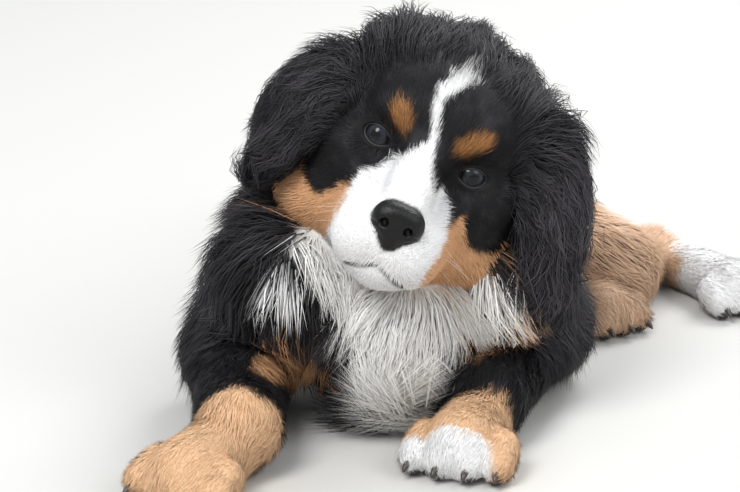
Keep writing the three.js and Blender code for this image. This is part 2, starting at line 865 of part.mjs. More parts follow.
// Paws: a pad of flesh, four toes, and a curved claw in each toe
for (const name of [...frontLegs, ...hindLegs]) {
  const paw = pawOf(name);
  const part = name + (name.startsWith("front") ? "_paw" : "_foot");
  const depth = coat.paw / 2;
  makers[part] = (grow) => {
    const form = bar(paw.start, paw.tip, paw.startRadius, paw.tipRadius);
    const digits = paw.toes.map(({ root, end, radius }) =>
      shell(bar(root, end, radius, radius * 0.9), [root, end], [0, 2, 1], 6, depth + grow),
    );
    return unite([shell(form, [paw.start, paw.tip], [1, 2, 0], 10, depth + grow), ...digits]);
  };
  paw.toes.forEach(({ end, way, radius }, i) => {
    const start = end.clone().addScaledVector(way, radius * 0.55).setZ(radius * 0.75);
    const path = [0, 0.33, 0.67, 1].map((t) =>
      start
        .clone()
        .addScaledVector(way, t * clawLength)
        .add(V(0, 0, 2.4 * t - 5.4 * t * t)),
    );
    makers[`${part}_claw_${i + 1}`] = (grow) =>
      rod(path, 3, 5, (t) => clawRadius * Math.sqrt(1.02 - t * t * 0.9), grow);
  });
}

// Colours
const looks = {
  black: { color: "#1b1a1c", roughness: 0.75 },
  tan: { color: "#c08a5e", roughness: 0.8 },
  nose: { color: "#1d1b1d", roughness: 0.4 },
  eye: { color: "#1c1613", roughness: 0.08 },
  claw: { color: "#37302c", roughness: 0.5 },
};
function lookOf(name) {
  if (name.startsWith("eye")) return looks.eye;
  if (name === "nose") return looks.nose;
  if (name.includes("claw")) return looks.claw;
  return /paw|foot|shank|forearm/.test(name) ? looks.tan : looks.black;
}

// A piece is cut back by the grown forms of those before it in this order, and by the floor
const withClaws = (part) => [1, 2, 3, 4].map((i) => `${part}_claw_${i}`).concat(part);
const order = [
  "eye_right",
  "eye_left",
  "nose",
  "head",
  "ear_right",
  "ear_left",
  "neck",
  "torso",
  ...frontLegs.flatMap((n) => [n + "_upper_arm", n + "_forearm", ...withClaws(n + "_paw")]),
  ...hindLegs.flatMap((n) => [n + "_thigh", n + "_shank", ...withClaws(n + "_foot")]),
  "tail",
];
const ground = solidOf(
  new THREE.BoxGeometry(...floorBlock).translate(0, 150, -floorBlock[2] / 2),
);

function boxesMeet(a, b) {
  return [0, 1, 2].every((k) => a.min[k] < b.max[k] && b.min[k] < a.max[k]);
}

function meshOf(name, made) {
  const { vertProperties, triVerts } = made.getMesh();
  const geometry = new THREE.BufferGeometry();
  geometry.setAttribute("position", new THREE.Float32BufferAttribute(vertProperties, 3));
  geometry.setIndex([...triVerts]);
  const material = new THREE.MeshStandardMaterial({ ...lookOf(name), metalness: 0 });
  const mesh = new THREE.Mesh(geometry, material);
  mesh.name = name;
  return mesh;
}

const puppy = new THREE.Group();
const grownBefore = [];
for (const name of order) {
  const whole = makers[name](0);
  const box = whole.boundingBox();
  const cutters = grownBefore.filter((other) => boxesMeet(box, other.boundingBox()));
  puppy.add(meshOf(name, largest(whole.subtract(unite([ground, ...cutters])))));
  grownBefore.push(makers[name](gap));
}

// The origin goes on the floor under the middle of the whole animal
const bounds = new THREE.Box3().setFromObject(puppy);
const middle = bounds.getCenter(V(0, 0, 0));
puppy.position.set(-middle.x, -middle.y, -bounds.min.z);

const group = new THREE.Group();
group.add(puppy);
export default group;
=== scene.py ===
# A Bernese mountain dog puppy of about nine weeks, life size, lying down with its head tilted.
# Shapes are worked out in millimetres from the point on the floor under the eyes, with x to the
# puppy's left, y behind it and z up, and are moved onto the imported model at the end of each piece.
import math
import bmesh
import bpy
import numpy as np
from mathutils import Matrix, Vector
from mathutils.kdtree import KDTree


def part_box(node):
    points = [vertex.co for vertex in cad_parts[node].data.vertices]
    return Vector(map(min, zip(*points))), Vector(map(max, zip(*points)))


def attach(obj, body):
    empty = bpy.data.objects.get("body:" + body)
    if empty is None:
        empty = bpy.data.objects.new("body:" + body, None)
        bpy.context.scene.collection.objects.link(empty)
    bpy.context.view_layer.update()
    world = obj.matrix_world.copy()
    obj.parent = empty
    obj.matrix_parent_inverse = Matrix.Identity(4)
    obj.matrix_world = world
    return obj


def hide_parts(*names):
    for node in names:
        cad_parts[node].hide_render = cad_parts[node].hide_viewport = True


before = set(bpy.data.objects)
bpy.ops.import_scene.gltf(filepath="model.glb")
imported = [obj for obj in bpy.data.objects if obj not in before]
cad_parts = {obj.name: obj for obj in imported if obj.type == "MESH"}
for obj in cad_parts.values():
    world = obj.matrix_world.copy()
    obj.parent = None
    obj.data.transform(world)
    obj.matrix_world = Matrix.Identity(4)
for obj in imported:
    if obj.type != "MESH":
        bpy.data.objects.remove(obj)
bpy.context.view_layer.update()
random = np.random.default_rng(20)
sides = (-1, 1)
sideNames = {-1: "right", 1: "left"}


def vec(x, y, z):
    return np.array([x, y, z], dtype=float)


def lengths(v):
    return np.sqrt(np.einsum("ij,ij->i", v, v))


def unit(v):
    if v.ndim == 1:
        return v / np.linalg.norm(v)
    return v / np.maximum(lengths(v), 1e-9)[:, None]


def smooth(low, high, x):
    t = np.clip((x - low) / (high - low), 0, 1)
    return t * t * (3 - 2 * t)


def mix(a, b, t):
    return a + (b - a) * t


# The head's own directions: left, ahead and up
head = {
    "eyeHeight": 150,  # mm over the floor
    "eyeSpacing": 49,
    "eyeRadius": 9.6,
    "eyeSetBack": 5.5,
    "tilt": 23.5,  # degrees, its own left side down
    "pitch": 1.5,  # nose above level
    "turn": 5.5,  # nose towards its own right
    "lidThickness": 1.7,
}


def headDirections():
    pitch, turn, tilt = (math.radians(head[k]) for k in ("pitch", "turn", "tilt"))
    flat = math.cos(pitch)
    ahead = vec(-math.sin(turn) * flat, -math.cos(turn) * flat, math.sin(pitch))
    side = unit(np.cross(vec(0, 0, 1), ahead))
    top = np.cross(ahead, side)
    left = side * math.cos(tilt) - top * math.sin(tilt)
    up = top * math.cos(tilt) + side * math.sin(tilt)
    return np.array([left, ahead, up])


headAxes = headDirections()
eyePoint = vec(0, 0, head["eyeHeight"])


def headWay(left, ahead, up):
    return vec(left, ahead, up) @ headAxes


def onHead(left, ahead, up):
    return headWay(left, ahead, up) + eyePoint


def inHead(p):
    return (p - eyePoint) @ headAxes.T


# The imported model's eyes tell how the design lies in it
eyeMiddle = np.mean([np.mean(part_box(n), axis=0) for n in ("eye_right", "eye_left")], axis=0) * 1000
shift = eyeMiddle - onHead(0, -head["eyeSetBack"], 0)


def toScene(p):
    return (np.asarray(p, dtype=float) + shift) / 1000


# Forms: each gives a rough signed distance for rows of points, below 0 inside
def ball(centre, radius):
    return lambda p: lengths(p - centre) - radius


def bar(a, b, ra, rb):
    along = b - a
    size2 = along @ along

    def form(p):
        t = np.clip((p - a) @ along / size2, 0, 1)
        return lengths(p - a - t[:, None] * along) - (ra + (rb - ra) * t)

    return form


def oval(centre, half, axes):
    half = np.array(half, dtype=float)
    axes = np.array(axes)

    def form(p):
        parts = (p - centre) @ axes.T / half
        near = lengths(parts)
        return near * (near - 1) / np.maximum(lengths(parts / half), 1e-6)

    return form


# How much an edge between two forms is rounded, over the given width
def rounding(d, e, width):
    h = np.maximum(width - np.abs(d - e), 0) / width
    return h * h * width / 4


def joined(forms, width):
    def form(p):
        d = forms[0](p)
        for other in forms[1:]:
            e = other(p)
            d = np.minimum(d, e) - rounding(d, e, width)
        return d

    return form


def hollowed(form, hollows, width):
    def result(p):
        d = form(p)
        for hollow in hollows:
            e = -hollow(p)
            d = np.maximum(d, e) + rounding(d, e, width)
        return d

    return result


# Joints are given as x, y, z and radius
def limb(a, b):
    return bar(vec(*a[:3]), vec(*b[:3]), a[3], b[3])


# The way out of a form at each place, and its distance there
def slope(form, p, e=0.4):
    here = form(p)
    rise = [form(p + e * axis) - here for axis in np.eye(3)]
    return unit(np.stack(rise, axis=1)), here


# Points moved onto the form, or to a level over it
def settle(p, form, level):
    for _ in range(3):
        n, d = slope(form, p)
        p = p + n * np.clip(level - d, -3, 3)[:, None]
    return p


# The flesh of the head
muzzle = joined(
    [bar(onHead(0, 4, -2), onHead(0, 46, -18), 15, 10.5)]  # bridge
    + [bar(onHead(s * 14, 4, -33), onHead(s * 12.5, 41, -40), 20, 16) for s in sides]  # lips
    + [oval(onHead(0, 46, -32), [18, 10, 14], headAxes)],  # front end
    10,
)
jaw = joined(
    [bar(onHead(0, 42, -53), onHead(0, -2, -52), 9.5, 16)]  # chin
    + [bar(onHead(s * 8, 30, -50), onHead(s * 27, -26, -44), 9, 20) for s in sides],
    10,
)
skull = joined(
    [oval(onHead(0, -40, 13), [49, 47, 40], headAxes), oval(onHead(0, -10, 15), [33, 18, 22], headAxes)]
    + [ball(onHead(s * 21, -5, 15), 11) for s in sides]  # brows
    + [oval(onHead(s * 34, -20, -14), [22, 26, 20], headAxes) for s in sides]  # cheeks
    + [oval(onHead(s * 39, -24, -40), [19, 25, 22], headAxes) for s in sides]  # corners of the jaw
    + [ball(onHead(0, -42, -32), 32)],  # throat
    14,
)
sockets = [ball(onHead(s * 27, 15, -1), 14) for s in sides]
bareHead = hollowed(joined([skull, muzzle, jaw], 12), sockets, 7)


def eyeAt(s):
    return onHead(s * head["eyeSpacing"] / 2, -head["eyeSetBack"], 0)


def eyeWay(s):
    return unit(headWay(s * 0.3, 0.95, 0.05))


# Lids: a thin ball round each eye, opened by an almond where two ovals cross
lid = {
    "opening": [9.3, 14, 7.6],  # half sizes of each oval: wide, deep, high
    "apart": 2.1,  # how far each oval lies from the middle
    "slant": 6,  # degrees, outer corner up
}


def eyeAxes(s):
    deep = eyeWay(s)
    slant = math.tan(math.radians(lid["slant"]))
    wide = unit(np.cross(deep, headWay(-s * slant, 0, 1)))
    return np.array([wide, deep, np.cross(wide, deep)])


def almond(s):
    axes = eyeAxes(s)
    front = eyeAt(s) + axes[1] * lid["opening"][1]
    low, top = (oval(front + axes[2] * side * lid["apart"], lid["opening"], axes) for side in sides)
    return lambda p: np.maximum(low(p), top(p))


lids = [ball(eyeAt(s), head["eyeRadius"] + head["lidThickness"]) for s in sides]
openings = [almond(s) for s in sides]
eyeBeds = [ball(eyeAt(s), head["eyeRadius"] - 0.25) for s in sides]
mouthHalf = [[0, 56, -45], [11, 52, -51], [20, 42, -56], [27, 28, -56], [33, 11, -49]]


def lipLine():
    half = [[s * p[0], p[1], p[2]] for s in sides for p in (mouthHalf[:0:-1] if s < 0 else mouthHalf)]
    return settle(np.array([onHead(*p) for p in half]), bareHead, 0)


lips = lipLine()
mouth = joined([bar(a, b, 1.2, 1.2) for a, b in zip(lips[:-1], lips[1:])], 1)
lipCleft = bar(onHead(0, 58, -34), onHead(0, 56.5, -45), 0.9, 0.9)
faceForm = hollowed(joined([bareHead] + lids, 2.5), openings, 1.6)
headForm = hollowed(hollowed(faceForm, eyeBeds, 0.6), [mouth, lipCleft], 1.6)

# The ears hang from a long fold on the side of the skull, and the tilt lets the left one hang free.
# Each row gives how far the front edge is out, ahead and up, and then the same of the back edge.
ear = {
    "right": [
        [30, -24, 20, 37, -54, 20],
        [41, -18, 20, 54, -56, 21],
        [48, -10, 12, 69, -51, 14],
        [53, -4, 0, 80, -43, 3],
        [58, -1, -13, 85, -36, -10],
        [64, -3, -27, 83, -30, -24],
        [69, -8, -38, 80, -22, -36],
        [74, -13, -46, 77, -17, -46],
    ],
    "left": [
        [31, -24, 26, 39, -54, 29],
        [42, -18, 23, 54, -56, 32],
        [48, -12, 12, 67, -51, 26],
        [57, -7, -1, 79, -43, 14],
        [65, -5, -15, 88, -36, 0],
        [72, -6, -29, 93, -30, -16],
        [78, -10, -42, 90, -22, -35],
        [82, -14, -52, 85, -18, -52],
    ],
    "thickness": 6.5,
    "cup": 0.22,  # of the half width, how far the edges curl in towards the head
    "steps": [48, 20],
    "about": 12,  # mm round the ear, past which a rough distance will do
}


# A grid over the middle of the flap: t runs down it and v across it, along is its way down
def earPlaces(s):
    t, v = np.meshgrid(np.linspace(0, 1, ear["steps"][0]), np.linspace(-1, 1, ear["steps"][1]), indexing="ij")
    t, v = t.ravel(), v.ravel()
    rows = np.array(ear[sideNames[s]], dtype=float) * [s, 1, 1, s, 1, 1]
    at = t * (len(rows) - 1)
    table = np.stack([np.interp(at, np.arange(len(rows)), column) for column in rows.T], axis=1)
    front = table[:, :3] @ headAxes + eyePoint
    back = table[:, 3:] @ headAxes + eyePoint
    middle = (front + back) / 2
    half = lengths(back - front) / 2
    grid = middle.reshape(ear["steps"] + [3])
    along = unit(np.gradient(grid, axis=0).reshape(-1, 3))
    across = unit(back - front)
    out = unit(np.cross(along, across)) * s
    place = middle + across * (v * half)[:, None] + out * (ear["cup"] * half * (0.5 - v * v))[:, None]
    thick = ear["thickness"] / 2 * mix(1.15, 0.75, t)
    return {"place": place, "along": along, "t": t, "v": v, "thick": thick}


earData = {s: earPlaces(s) for s in sides}


# For each point the nearest of the places, and how far it is
def nearest(points, places, block=20000):
    found = np.empty(len(points), dtype=int)
    far = np.empty(len(points))
    size2 = np.einsum("ij,ij->i", places, places)
    for i in range(0, len(points), block):
        p = points[i : i + block]
        d2 = size2[None] - 2 * p @ places.T
        k = d2.argmin(axis=1)
        found[i : i + block] = k
        far[i : i + block] = lengths(p - places[k])
    return found, far


def flap(s):
    place, thick = earData[s]["place"], earData[s]["thick"]
    low, high = place.min(axis=0) - ear["about"], place.max(axis=0) + ear["about"]

    def form(p):
        out = lengths(np.maximum(np.maximum(low - p, p - high), 0))
        d = out + 8
        close = np.nonzero(out == 0)[0]
        if len(close):
            k, far = nearest(p[close], place)
            d[close] = far - thick[k]
        return d

    return form


earForm = {s: flap(s) for s in sides}

# The trunk, the tail and the legs; tail and legs as joints with the radius of the flesh there
neckForm = joined(
    [bar(vec(-12, 92, 98), onHead(0, -62, -4), 45, 40), bar(vec(-12, 44, 84), onHead(0, -40, -34), 34, 28)],
    20,
)
torsoForm = joined(
    [
        bar(vec(-15, 50, 60), vec(-8, 185, 58), 53, 57),  # ribs
        bar(vec(-8, 185, 58), vec(8, 262, 55), 56, 52),  # loins
        ball(vec(8, 282, 57), 50),  # rump
        ball(vec(-15, 32, 52), 38),  # breast
        bar(vec(-14, 105, 106), vec(-10, 175, 86), 33, 36),  # withers
        bar(vec(-56, 80, 106), vec(-75, 23, 77), 28, 27),  # right shoulder
        bar(vec(14, 90, 102), vec(36, 30, 74), 24, 22),  # left shoulder
    ],
    26,
)
tailLine = [[-4, 318, 56, 16], [-22, 360, 28, 12], [-50, 388, 17, 11], [-80, 390, 15, 9]]
tailForm = joined([limb(a, b) for a, b in zip(tailLine[:-1], tailLine[1:])], 8)
# Shoulder or hip, elbow or knee, wrist or heel, and the paw's front
legs = {
    "front_right": [[-72, 18, 78, 32], [-98, 40, 28, 24], [-94, -57, 24, 21], [-118, -96, 14, 18.5]],
    "front_left": [[38, 26, 76, 29], [64, 82, 28, 22], [33, -14, 24, 19], [18, -58, 14, 18.5]],
    "hind_right": [[0, 258, 42, 38], [50, 164, 25, 22], [66, 236, 15, 12], [108, 162, 13, 15.5]],
    "hind_left": [[34, 258, 60, 38], [115, 200, 25, 21], [148, 272, 17, 12], [192, 204, 13, 15.5]],
}
toe = {
    "front": {"spread": 12.5, "radius": 10, "start": 0.28, "height": 17, "startRadius": 17},
    "hind": {"spread": 11, "radius": 9, "start": 0.06, "height": 14, "startRadius": 11.5},
}
claw = {"length": 8.7, "radius": 2.1, "rings": 9, "sides": 10, "bend": [2.4, -5.4]}  # up, then down
joint = {"wrist": 18, "shank": 20}  # mm radius of the wrist, and of the shank under the knee


# A paw of four toes, each with its root, its end and its way
def pawOf(name):
    size = toe[name.split("_")[0]]
    heel, tip = (vec(*place[:3]) for place in legs[name][2:])
    ahead = unit((tip - heel) * [1, 1, 0])
    across = vec(-ahead[1], ahead[0], 0)
    radius = size["radius"]
    toes = []
    for k in (-1.5, -0.5, 0.5, 1.5):
        way = unit(ahead + across * k * 0.13)
        root = tip + across * k * size["spread"] + ahead * (-3 if abs(k) < 1 else -5.2)
        root[2] = radius + 4
        end = root + way * radius * 1.35
        end[2] = radius - 0.5
        toes.append((root, end, way))
    start = mix(heel, tip, size["start"])
    start[2] = size["height"]
    form = bar(start, tip, size["startRadius"], legs[name][3][3])
    digits = [bar(root, end, radius, radius * 0.9) for root, end, _ in toes]
    return {"form": joined([form, joined(digits, 1.5)], 4), "toes": toes, "ahead": ahead, "radius": radius}


paws = {name: pawOf(name) for name in legs}


def legForms(name):
    a, b, c, _ = legs[name]
    if name.startswith("front"):
        wrist = ball(vec(*c[:3]), joint["wrist"])
        return {"upper": limb(a, b), "lower": joined([limb(b, c), wrist], 8), "paw": paws[name]["form"]}
    knee = ball(vec(*b[:3]), b[3])
    lower = bar(vec(*b[:3]), vec(*c[:3]), joint["shank"], c[3])
    return {"upper": joined([limb(a, b), knee], 8), "lower": lower, "paw": paws[name]["form"]}


parts = {"head": bareHead, "neck": neckForm, "torso": torsoForm, "tail": tailForm}
for s in sides:
    parts["ear_" + sideNames[s]] = earForm[s]
for name in legs:
    for section, form in legForms(name).items():
        parts[f"{name}_{section}"] = form


def legOf(name):
    section = [parts[f"{name}_{part}"] for part in ("upper", "lower", "paw")]
    return joined([joined(section[:2], 10), section[2]], 7)


# The whole body, cut off just over the floor
def bodyWith(headPart):
    topped = joined([headPart, earForm[-1], earForm[1]], 5)
    trunk = joined([joined([neckForm, torsoForm], 26), tailForm], 16)
    for name in legs:
        trunk = joined([trunk, legOf(name)], 12)
    whole = joined([topped, trunk], 10)
    return lambda p: np.maximum(whole(p), 0.4 - p[:, 2])


skinForm = bodyWith(headForm)
layForm = bodyWith(bareHead)  # what the coat lies on: the same without lids and mouth
print("Shapes ready")

# The skin: a net of quads round the whole form, finer over the head
skinGrid = {
    "low": [-185, -130, 0],
    "high": [225, 425, 225],
    "coarse": 4.2,
    "fine": 1.5,
    "fineLow": [-92, -70, 82],
    "fineHigh": [92, 62, 225],
    "block": 4,
}


# Places along one axis, closer together over the head
def gridLines(low, high, fineLow, fineHigh, coarse, fine):
    spans = [(low, fineLow, coarse), (fineLow, fineHigh, fine), (fineHigh, high, coarse)]
    lines = [np.linspace(a, b, max(int(round((b - a) / step)), 1), endpoint=False) for a, b, step in spans]
    return np.append(np.concatenate(lines), high)


# The form's value at every grid point: one for a whole block far from its surface, exact near it
def fieldOn(form, lines, block):
    shape = [len(line) for line in lines]
    middles = []
    spans = []
    for line in lines:
        starts = np.arange(0, len(line), block)
        ends = np.minimum(starts + block, len(line) - 1)
        middles.append((line[starts] + line[ends]) / 2)
        spans.append((line[ends] - line[starts]) / 2)
    centres = np.stack(np.meshgrid(*middles, indexing="ij"), axis=-1).reshape(-1, 3)
    reach = np.sqrt(sum(np.meshgrid(*[x * x for x in spans], indexing="ij")))
    rough = form(centres).reshape(reach.shape)
    spread = np.ix_(*[np.arange(n) // block for n in shape])
    field = rough[spread]
    active = (np.abs(rough) < reach * 1.1 + 5)[spread]
    index = np.nonzero(active)
    points = np.stack([line[i] for line, i in zip(lines, index)], axis=1)
    values = [form(points[i : i + 100000]) for i in range(0, len(points), 100000)]
    field[index] = np.concatenate(values)
    return field


# For each cell between the grid lines, the value at the one of its eight corners that i, j, k tell
def cornerOf(a, i, j, k):
    return a[i : i - 1 or None, j : j - 1 or None, k : k - 1 or None]


# A net of quads where the field is 0: a point in each cell it crosses, a quad round each crossed edge
def netRound(field, lines):
    inside = field < 0
    count = sum(cornerOf(inside, *c).astype(int) for c in np.ndindex(2, 2, 2))
    active = (count > 0) & (count < 8)
    cell = np.nonzero(active)
    total = np.zeros((len(cell[0]), 3))
    hits = np.zeros(len(cell[0]))
    for axis in range(3):
        step = np.eye(3, dtype=int)[axis]
        others = [k for k in range(3) if k != axis]
        for i in (0, 1):
            for j in (0, 1):
                offset = np.zeros(3, dtype=int)
                offset[others[0]], offset[others[1]] = i, j
                a = tuple(cell[k] + offset[k] for k in range(3))
                b = tuple(a[k] + step[k] for k in range(3))
                fa, fb = field[a], field[b]
                crossed = (fa < 0) != (fb < 0)
                share = np.where(crossed, fa / np.where(crossed, fa - fb, 1), 0)
                pa = np.stack([lines[k][a[k]] for k in range(3)], axis=1)
                pb = np.stack([lines[k][b[k]] for k in range(3)], axis=1)
                total += (pa + (pb - pa) * share[:, None]) * crossed[:, None]
                hits += crossed
    number = -np.ones(active.shape, dtype=int)
    number[cell] = np.arange(len(cell[0]))
    quads = []
    for axis in range(3):
        u, w = [k for k in range(3) if k != axis]
        low = np.take(inside, np.arange(inside.shape[axis] - 1), axis)
        high = np.take(inside, np.arange(1, inside.shape[axis]), axis)
        edge = np.stack(np.nonzero(low != high), axis=1)
        edge = edge[(edge[:, u] > 0) & (edge[:, w] > 0)]
        edge = edge[(edge[:, u] < active.shape[u]) & (edge[:, w] < active.shape[w])]
        leaves = low[tuple(edge.T)]
        ring = []
        for du, dw in ((1, 1), (0, 1), (0, 0), (1, 0)):
            c = edge.copy()
            c[:, u] -= du
            c[:, w] -= dw
            ring.append(number[tuple(c.T)])
        ring = np.stack(ring, axis=1)
        flip = leaves if axis != 1 else ~leaves
        quads.append(np.where(flip[:, None], ring, ring[:, ::-1]))
    return total / hits[:, None], np.concatenate(quads)


def skinSurface():
    span = zip(skinGrid["low"], skinGrid["high"], skinGrid["fineLow"], skinGrid["fineHigh"])
    lines = [gridLines(a, b, c, d, skinGrid["coarse"], skinGrid["fine"]) for a, b, c, d in span]
    points, quads = netRound(fieldOn(skinForm, lines, skinGrid["block"]), lines)
    for _ in range(2):
        normal, far = slope(skinForm, points)
        points = points - normal * np.clip(far, -1, 1)[:, None]
    return points, quads, slope(layForm, points, 1.5)[0]


def placed(name, data):
    made = bpy.data.objects.new(name, data)
    bpy.context.collection.objects.link(made)
    return made


# Faces come as a list of arrays, each with one row for each face
def meshOf(name, points, faces):
    mesh = bpy.data.meshes.new(name)
    corners = np.concatenate([f.ravel() for f in faces])
    counts = np.concatenate([np.full(len(f), f.shape[1]) for f in faces])
    mesh.vertices.add(len(points))
    mesh.vertices.foreach_set("co", toScene(points).ravel())
    mesh.loops.add(len(corners))
    mesh.loops.foreach_set("vertex_index", corners)
    mesh.polygons.add(len(counts))
    mesh.polygons.foreach_set("loop_start", np.cumsum(counts) - counts)
    mesh.polygons.foreach_set("use_smooth", np.full(len(counts), True))
    mesh.update(calc_edges=True)
    mesh.validate()
    return placed(name, mesh)


def paint(piece, name, colours):
    layer = piece.data.color_attributes.new(name, "FLOAT_COLOR", "POINT")
    layer.data.foreach_set("color", np.append(colours, np.ones((len(colours), 1)), axis=1).ravel())


skinPoints, skinQuads, skinNormals = skinSurface()
skin = meshOf("skin", skinPoints, [skinQuads])
print("Skin:", len(skinPoints), "points")


# Smooth random numbers from -1 to 1 over space, with lumps of the given size in mm
lattice = random.uniform(-1, 1, (24, 24, 24))


def noise(p, size, offset=0):
    q = p / size + offset
    base = np.floor(q).astype(int)
    f = q - base
    f = f * f * (3 - 2 * f)
    value = 0
    for corner in np.ndindex(2, 2, 2):
        weight = np.prod(np.where(np.array(corner), f, 1 - f), axis=1)
        i, j, k = ((base + corner) % 24).T
        value = value + lattice[i, j, k] * weight
    return value


# The markings, the same on skin and coat
colours = {
    "black": "#0f0f11",
    # painted sheen: the grey laid over the tips of black tufts as a painted highlight
    "paintedSheenOnBlack": "#59555a",
    "white": "#fcfbfa",
    "bib": "#faf8f3",
    "tan": "#dfa97c",
    "brow": "#a06f42",
    "leg": "#f2c499",
    "hind": "#dcb594",
    "lip": "#1c1718",
}


def linear(hexColour):
    channels = [int(hexColour[i : i + 2], 16) / 255 for i in (1, 3, 5)]
    return np.array([c / 12.92 if c <= 0.04045 else ((c + 0.055) / 1.055) ** 2.4 for c in channels])


# Distance to a closed outline, below 0 inside
def fromOutline(x, y, outline):
    corners = np.array(outline, dtype=float)
    far = np.full(len(x), 1e9)
    odd = np.zeros(len(x), dtype=bool)
    for (ax, ay), (bx, by) in zip(corners, np.roll(corners, -1, axis=0)):
        dx, dy = bx - ax, by - ay
        t = np.clip(((x - ax) * dx + (y - ay) * dy) / (dx * dx + dy * dy), 0, 1)
        far = np.minimum(far, np.hypot(x - ax - t * dx, y - ay - t * dy))
        if dy:
            odd ^= ((ay > y) != (by > y)) & (x < ax + (y - ay) / dy * dx)
    return np.where(odd, -far, far)


markings = {
    # left of the middle at each height: where the white of the face starts and ends
    "blazeUp": [-75, -56, -44, -34, -26, -18, -13, -7, 1, 5, 8, 12, 17, 21, 25, 28, 31, 35, 38, 43, 48, 52],
    "blazeStart": [
        -30, -31, -31, -31, -30, -28, -22, -17, -12, -9, -6, -3.5, -3.5, -5.5, -7.5, -9.5, -10, -9.5, -9,
        -6, -3, 1,
    ],
    "blazeEnd": [
        22, 23, 25, 26, 27, 25, 20, 13, 7, 5, 4, 3, 1.5, 0.3, -0.5, -1, -1, 1, 3.5, 8, 10, 10,
    ],
    # below this line the cheeks are tan
    "cheekLeft": [-70, -57, -49, -42, -37, -31, -28, 0, 26, 31, 35, 39, 46, 53, 58, 70],
    "cheekTop": [-31, -33, -40, -41, -35, -26, -24, -24, -21, -19, -27, -35, -34, -34, -30, -28],
    "browRight": [[-25, 25], [-26, 21], [-25, 16], [-21, 11], [-16, 10], [-13, 13], [-14, 18], [-18, 23]],
    "browLeft": [[12, 17], [13, 12], [18, 9], [21, 12], [25, 17], [29, 21], [27, 25], [22, 25], [16, 22]],
    # the chest's marks, by x and by height raised a third of the way back
    "bib": [
        [-73, 102], [-66, 93], [-60, 83], [-55, 73], [-50, 59], [-45, 46], [-38, 34], [-36, 21], [-33, 7],
        [-30, -4], [-24, -20], [2, -20], [1, -4], [1, 7], [4, 17], [11, 26], [15, 36], [24, 45],
        [34, 49], [47, 52], [57, 58], [54, 63], [42, 68], [34, 80], [25, 120], [-55, 120],
    ],
    "streak": [[-88, 70], [-84, 77], [-76, 78], [-67, 70], [-62, 62], [-72, 58], [-85, 62]],
    "chestRight": [[-87, 41], [-77, 43], [-60, 38], [-50, 31], [-52, 25], [-66, 25], [-80, 30], [-88, 35]],
    "chestLeft": [[16, 42], [24, 50], [39, 55], [64, 60], [55, 50], [29, 42]],
    "legTan": {"front_right": -61, "front_left": -36},  # the y where the tan of the forelegs ends
    "hindWhite": 160,  # the x from which the toes of the left hind paw are white
    "tailWhite": [30, 22],  # mm from the tail's last joint: none of the white yet, all of it
}


# A colour laid over others, as much as amount tells for each place
def laid(under, name, amount):
    return mix(under, linear(colours[name]), amount[:, None])


# The colour of the coat at each place; onFace tells how much of the hair there is the head's
def markOf(p, onFace):
    left, ahead, up = inHead(p).T
    x, y, z = p.T
    rough = noise(p, 7) * 1.2 + noise(p, 2.6, 5.3) * 0.7

    # 1 well inside a marking whose edge is far away, 0 well outside it
    def within(far, soft):
        return smooth(soft, -soft, far + rough)

    top = np.interp(left, markings["cheekLeft"], markings["cheekTop"])
    cheek = within((up - top) * 0.8, 1.2) * smooth(-48, -36, ahead)
    colour = laid(np.tile(linear(colours["black"]), (len(p), 1)), "tan", cheek * onFace)
    for name in ("browRight", "browLeft"):
        brow = within(fromOutline(left, up, markings[name]), 2.6) * smooth(-10, -4, ahead)
        colour = laid(colour, "brow", brow * onFace)
    start, end = (np.interp(up, markings["blazeUp"], markings[key]) for key in ("blazeStart", "blazeEnd"))
    # its top frays out between the black hair
    fray = (noise(p, 5, 3.3) * 2.5 + noise(p, 2, 8.3) * 2) * smooth(26, 44, up)
    blaze = within(np.maximum(start - left, left - end) + 1.2 + fray, 1.2)
    blaze = blaze * smooth(60, 34, up) * smooth(-32, -24, ahead)
    colour = laid(colour, "white", blaze * onFace)
    front = smooth(75, 50, y) * (1 - onFace)
    chest = {"chestRight": "tan", "chestLeft": "tan", "bib": "bib", "streak": "white"}
    for name, colourName in chest.items():
        fade = smooth(-45, -30, y) if name == "chestRight" else 1
        mark = within(fromOutline(x, z + y / 3, markings[name]) + rough, 3)
        colour = laid(colour, colourName, mark * front * fade)
    return colour


# Tan and white of the legs; near gives for each part how much a place belongs to it
def legMarks(p, colour, near):
    rough = noise(p, 9) * 4 + noise(p, 3, 2.1) * 1.5
    x, y, z = p.T
    for name, edge in markings["legTan"].items():
        lower = near[name + "_lower"] + near[name + "_paw"]
        colour = laid(colour, "leg", smooth(4, -4, y - edge + rough) * lower)
    tip = vec(*legs["front_left"][3][:3])
    ahead = (p - tip) @ paws["front_left"]["ahead"] + 0.35 * (20 - z)
    toes = smooth(6, 11, ahead + rough * 0.5) * smooth(35, 29, x)
    colour = laid(colour, "white", toes * near["front_left_paw"])
    for name in ("hind_right", "hind_left"):
        far = lengths(p - vec(*legs[name][1][:3]))  # from the knee
        colour = laid(colour, "hind", smooth(52, 40, far + rough) * near[name + "_upper"])
        colour = laid(colour, "hind", near[name + "_lower"] + near[name + "_paw"])
    white = smooth(3, -3, markings["hindWhite"] - x + rough)
    colour = laid(colour, "white", white * near["hind_left_paw"])
    far = lengths(p - vec(*tailLine[-1][:3]))
    return laid(colour, "white", smooth(*markings["tailWhite"], far + rough) * near["tail"])


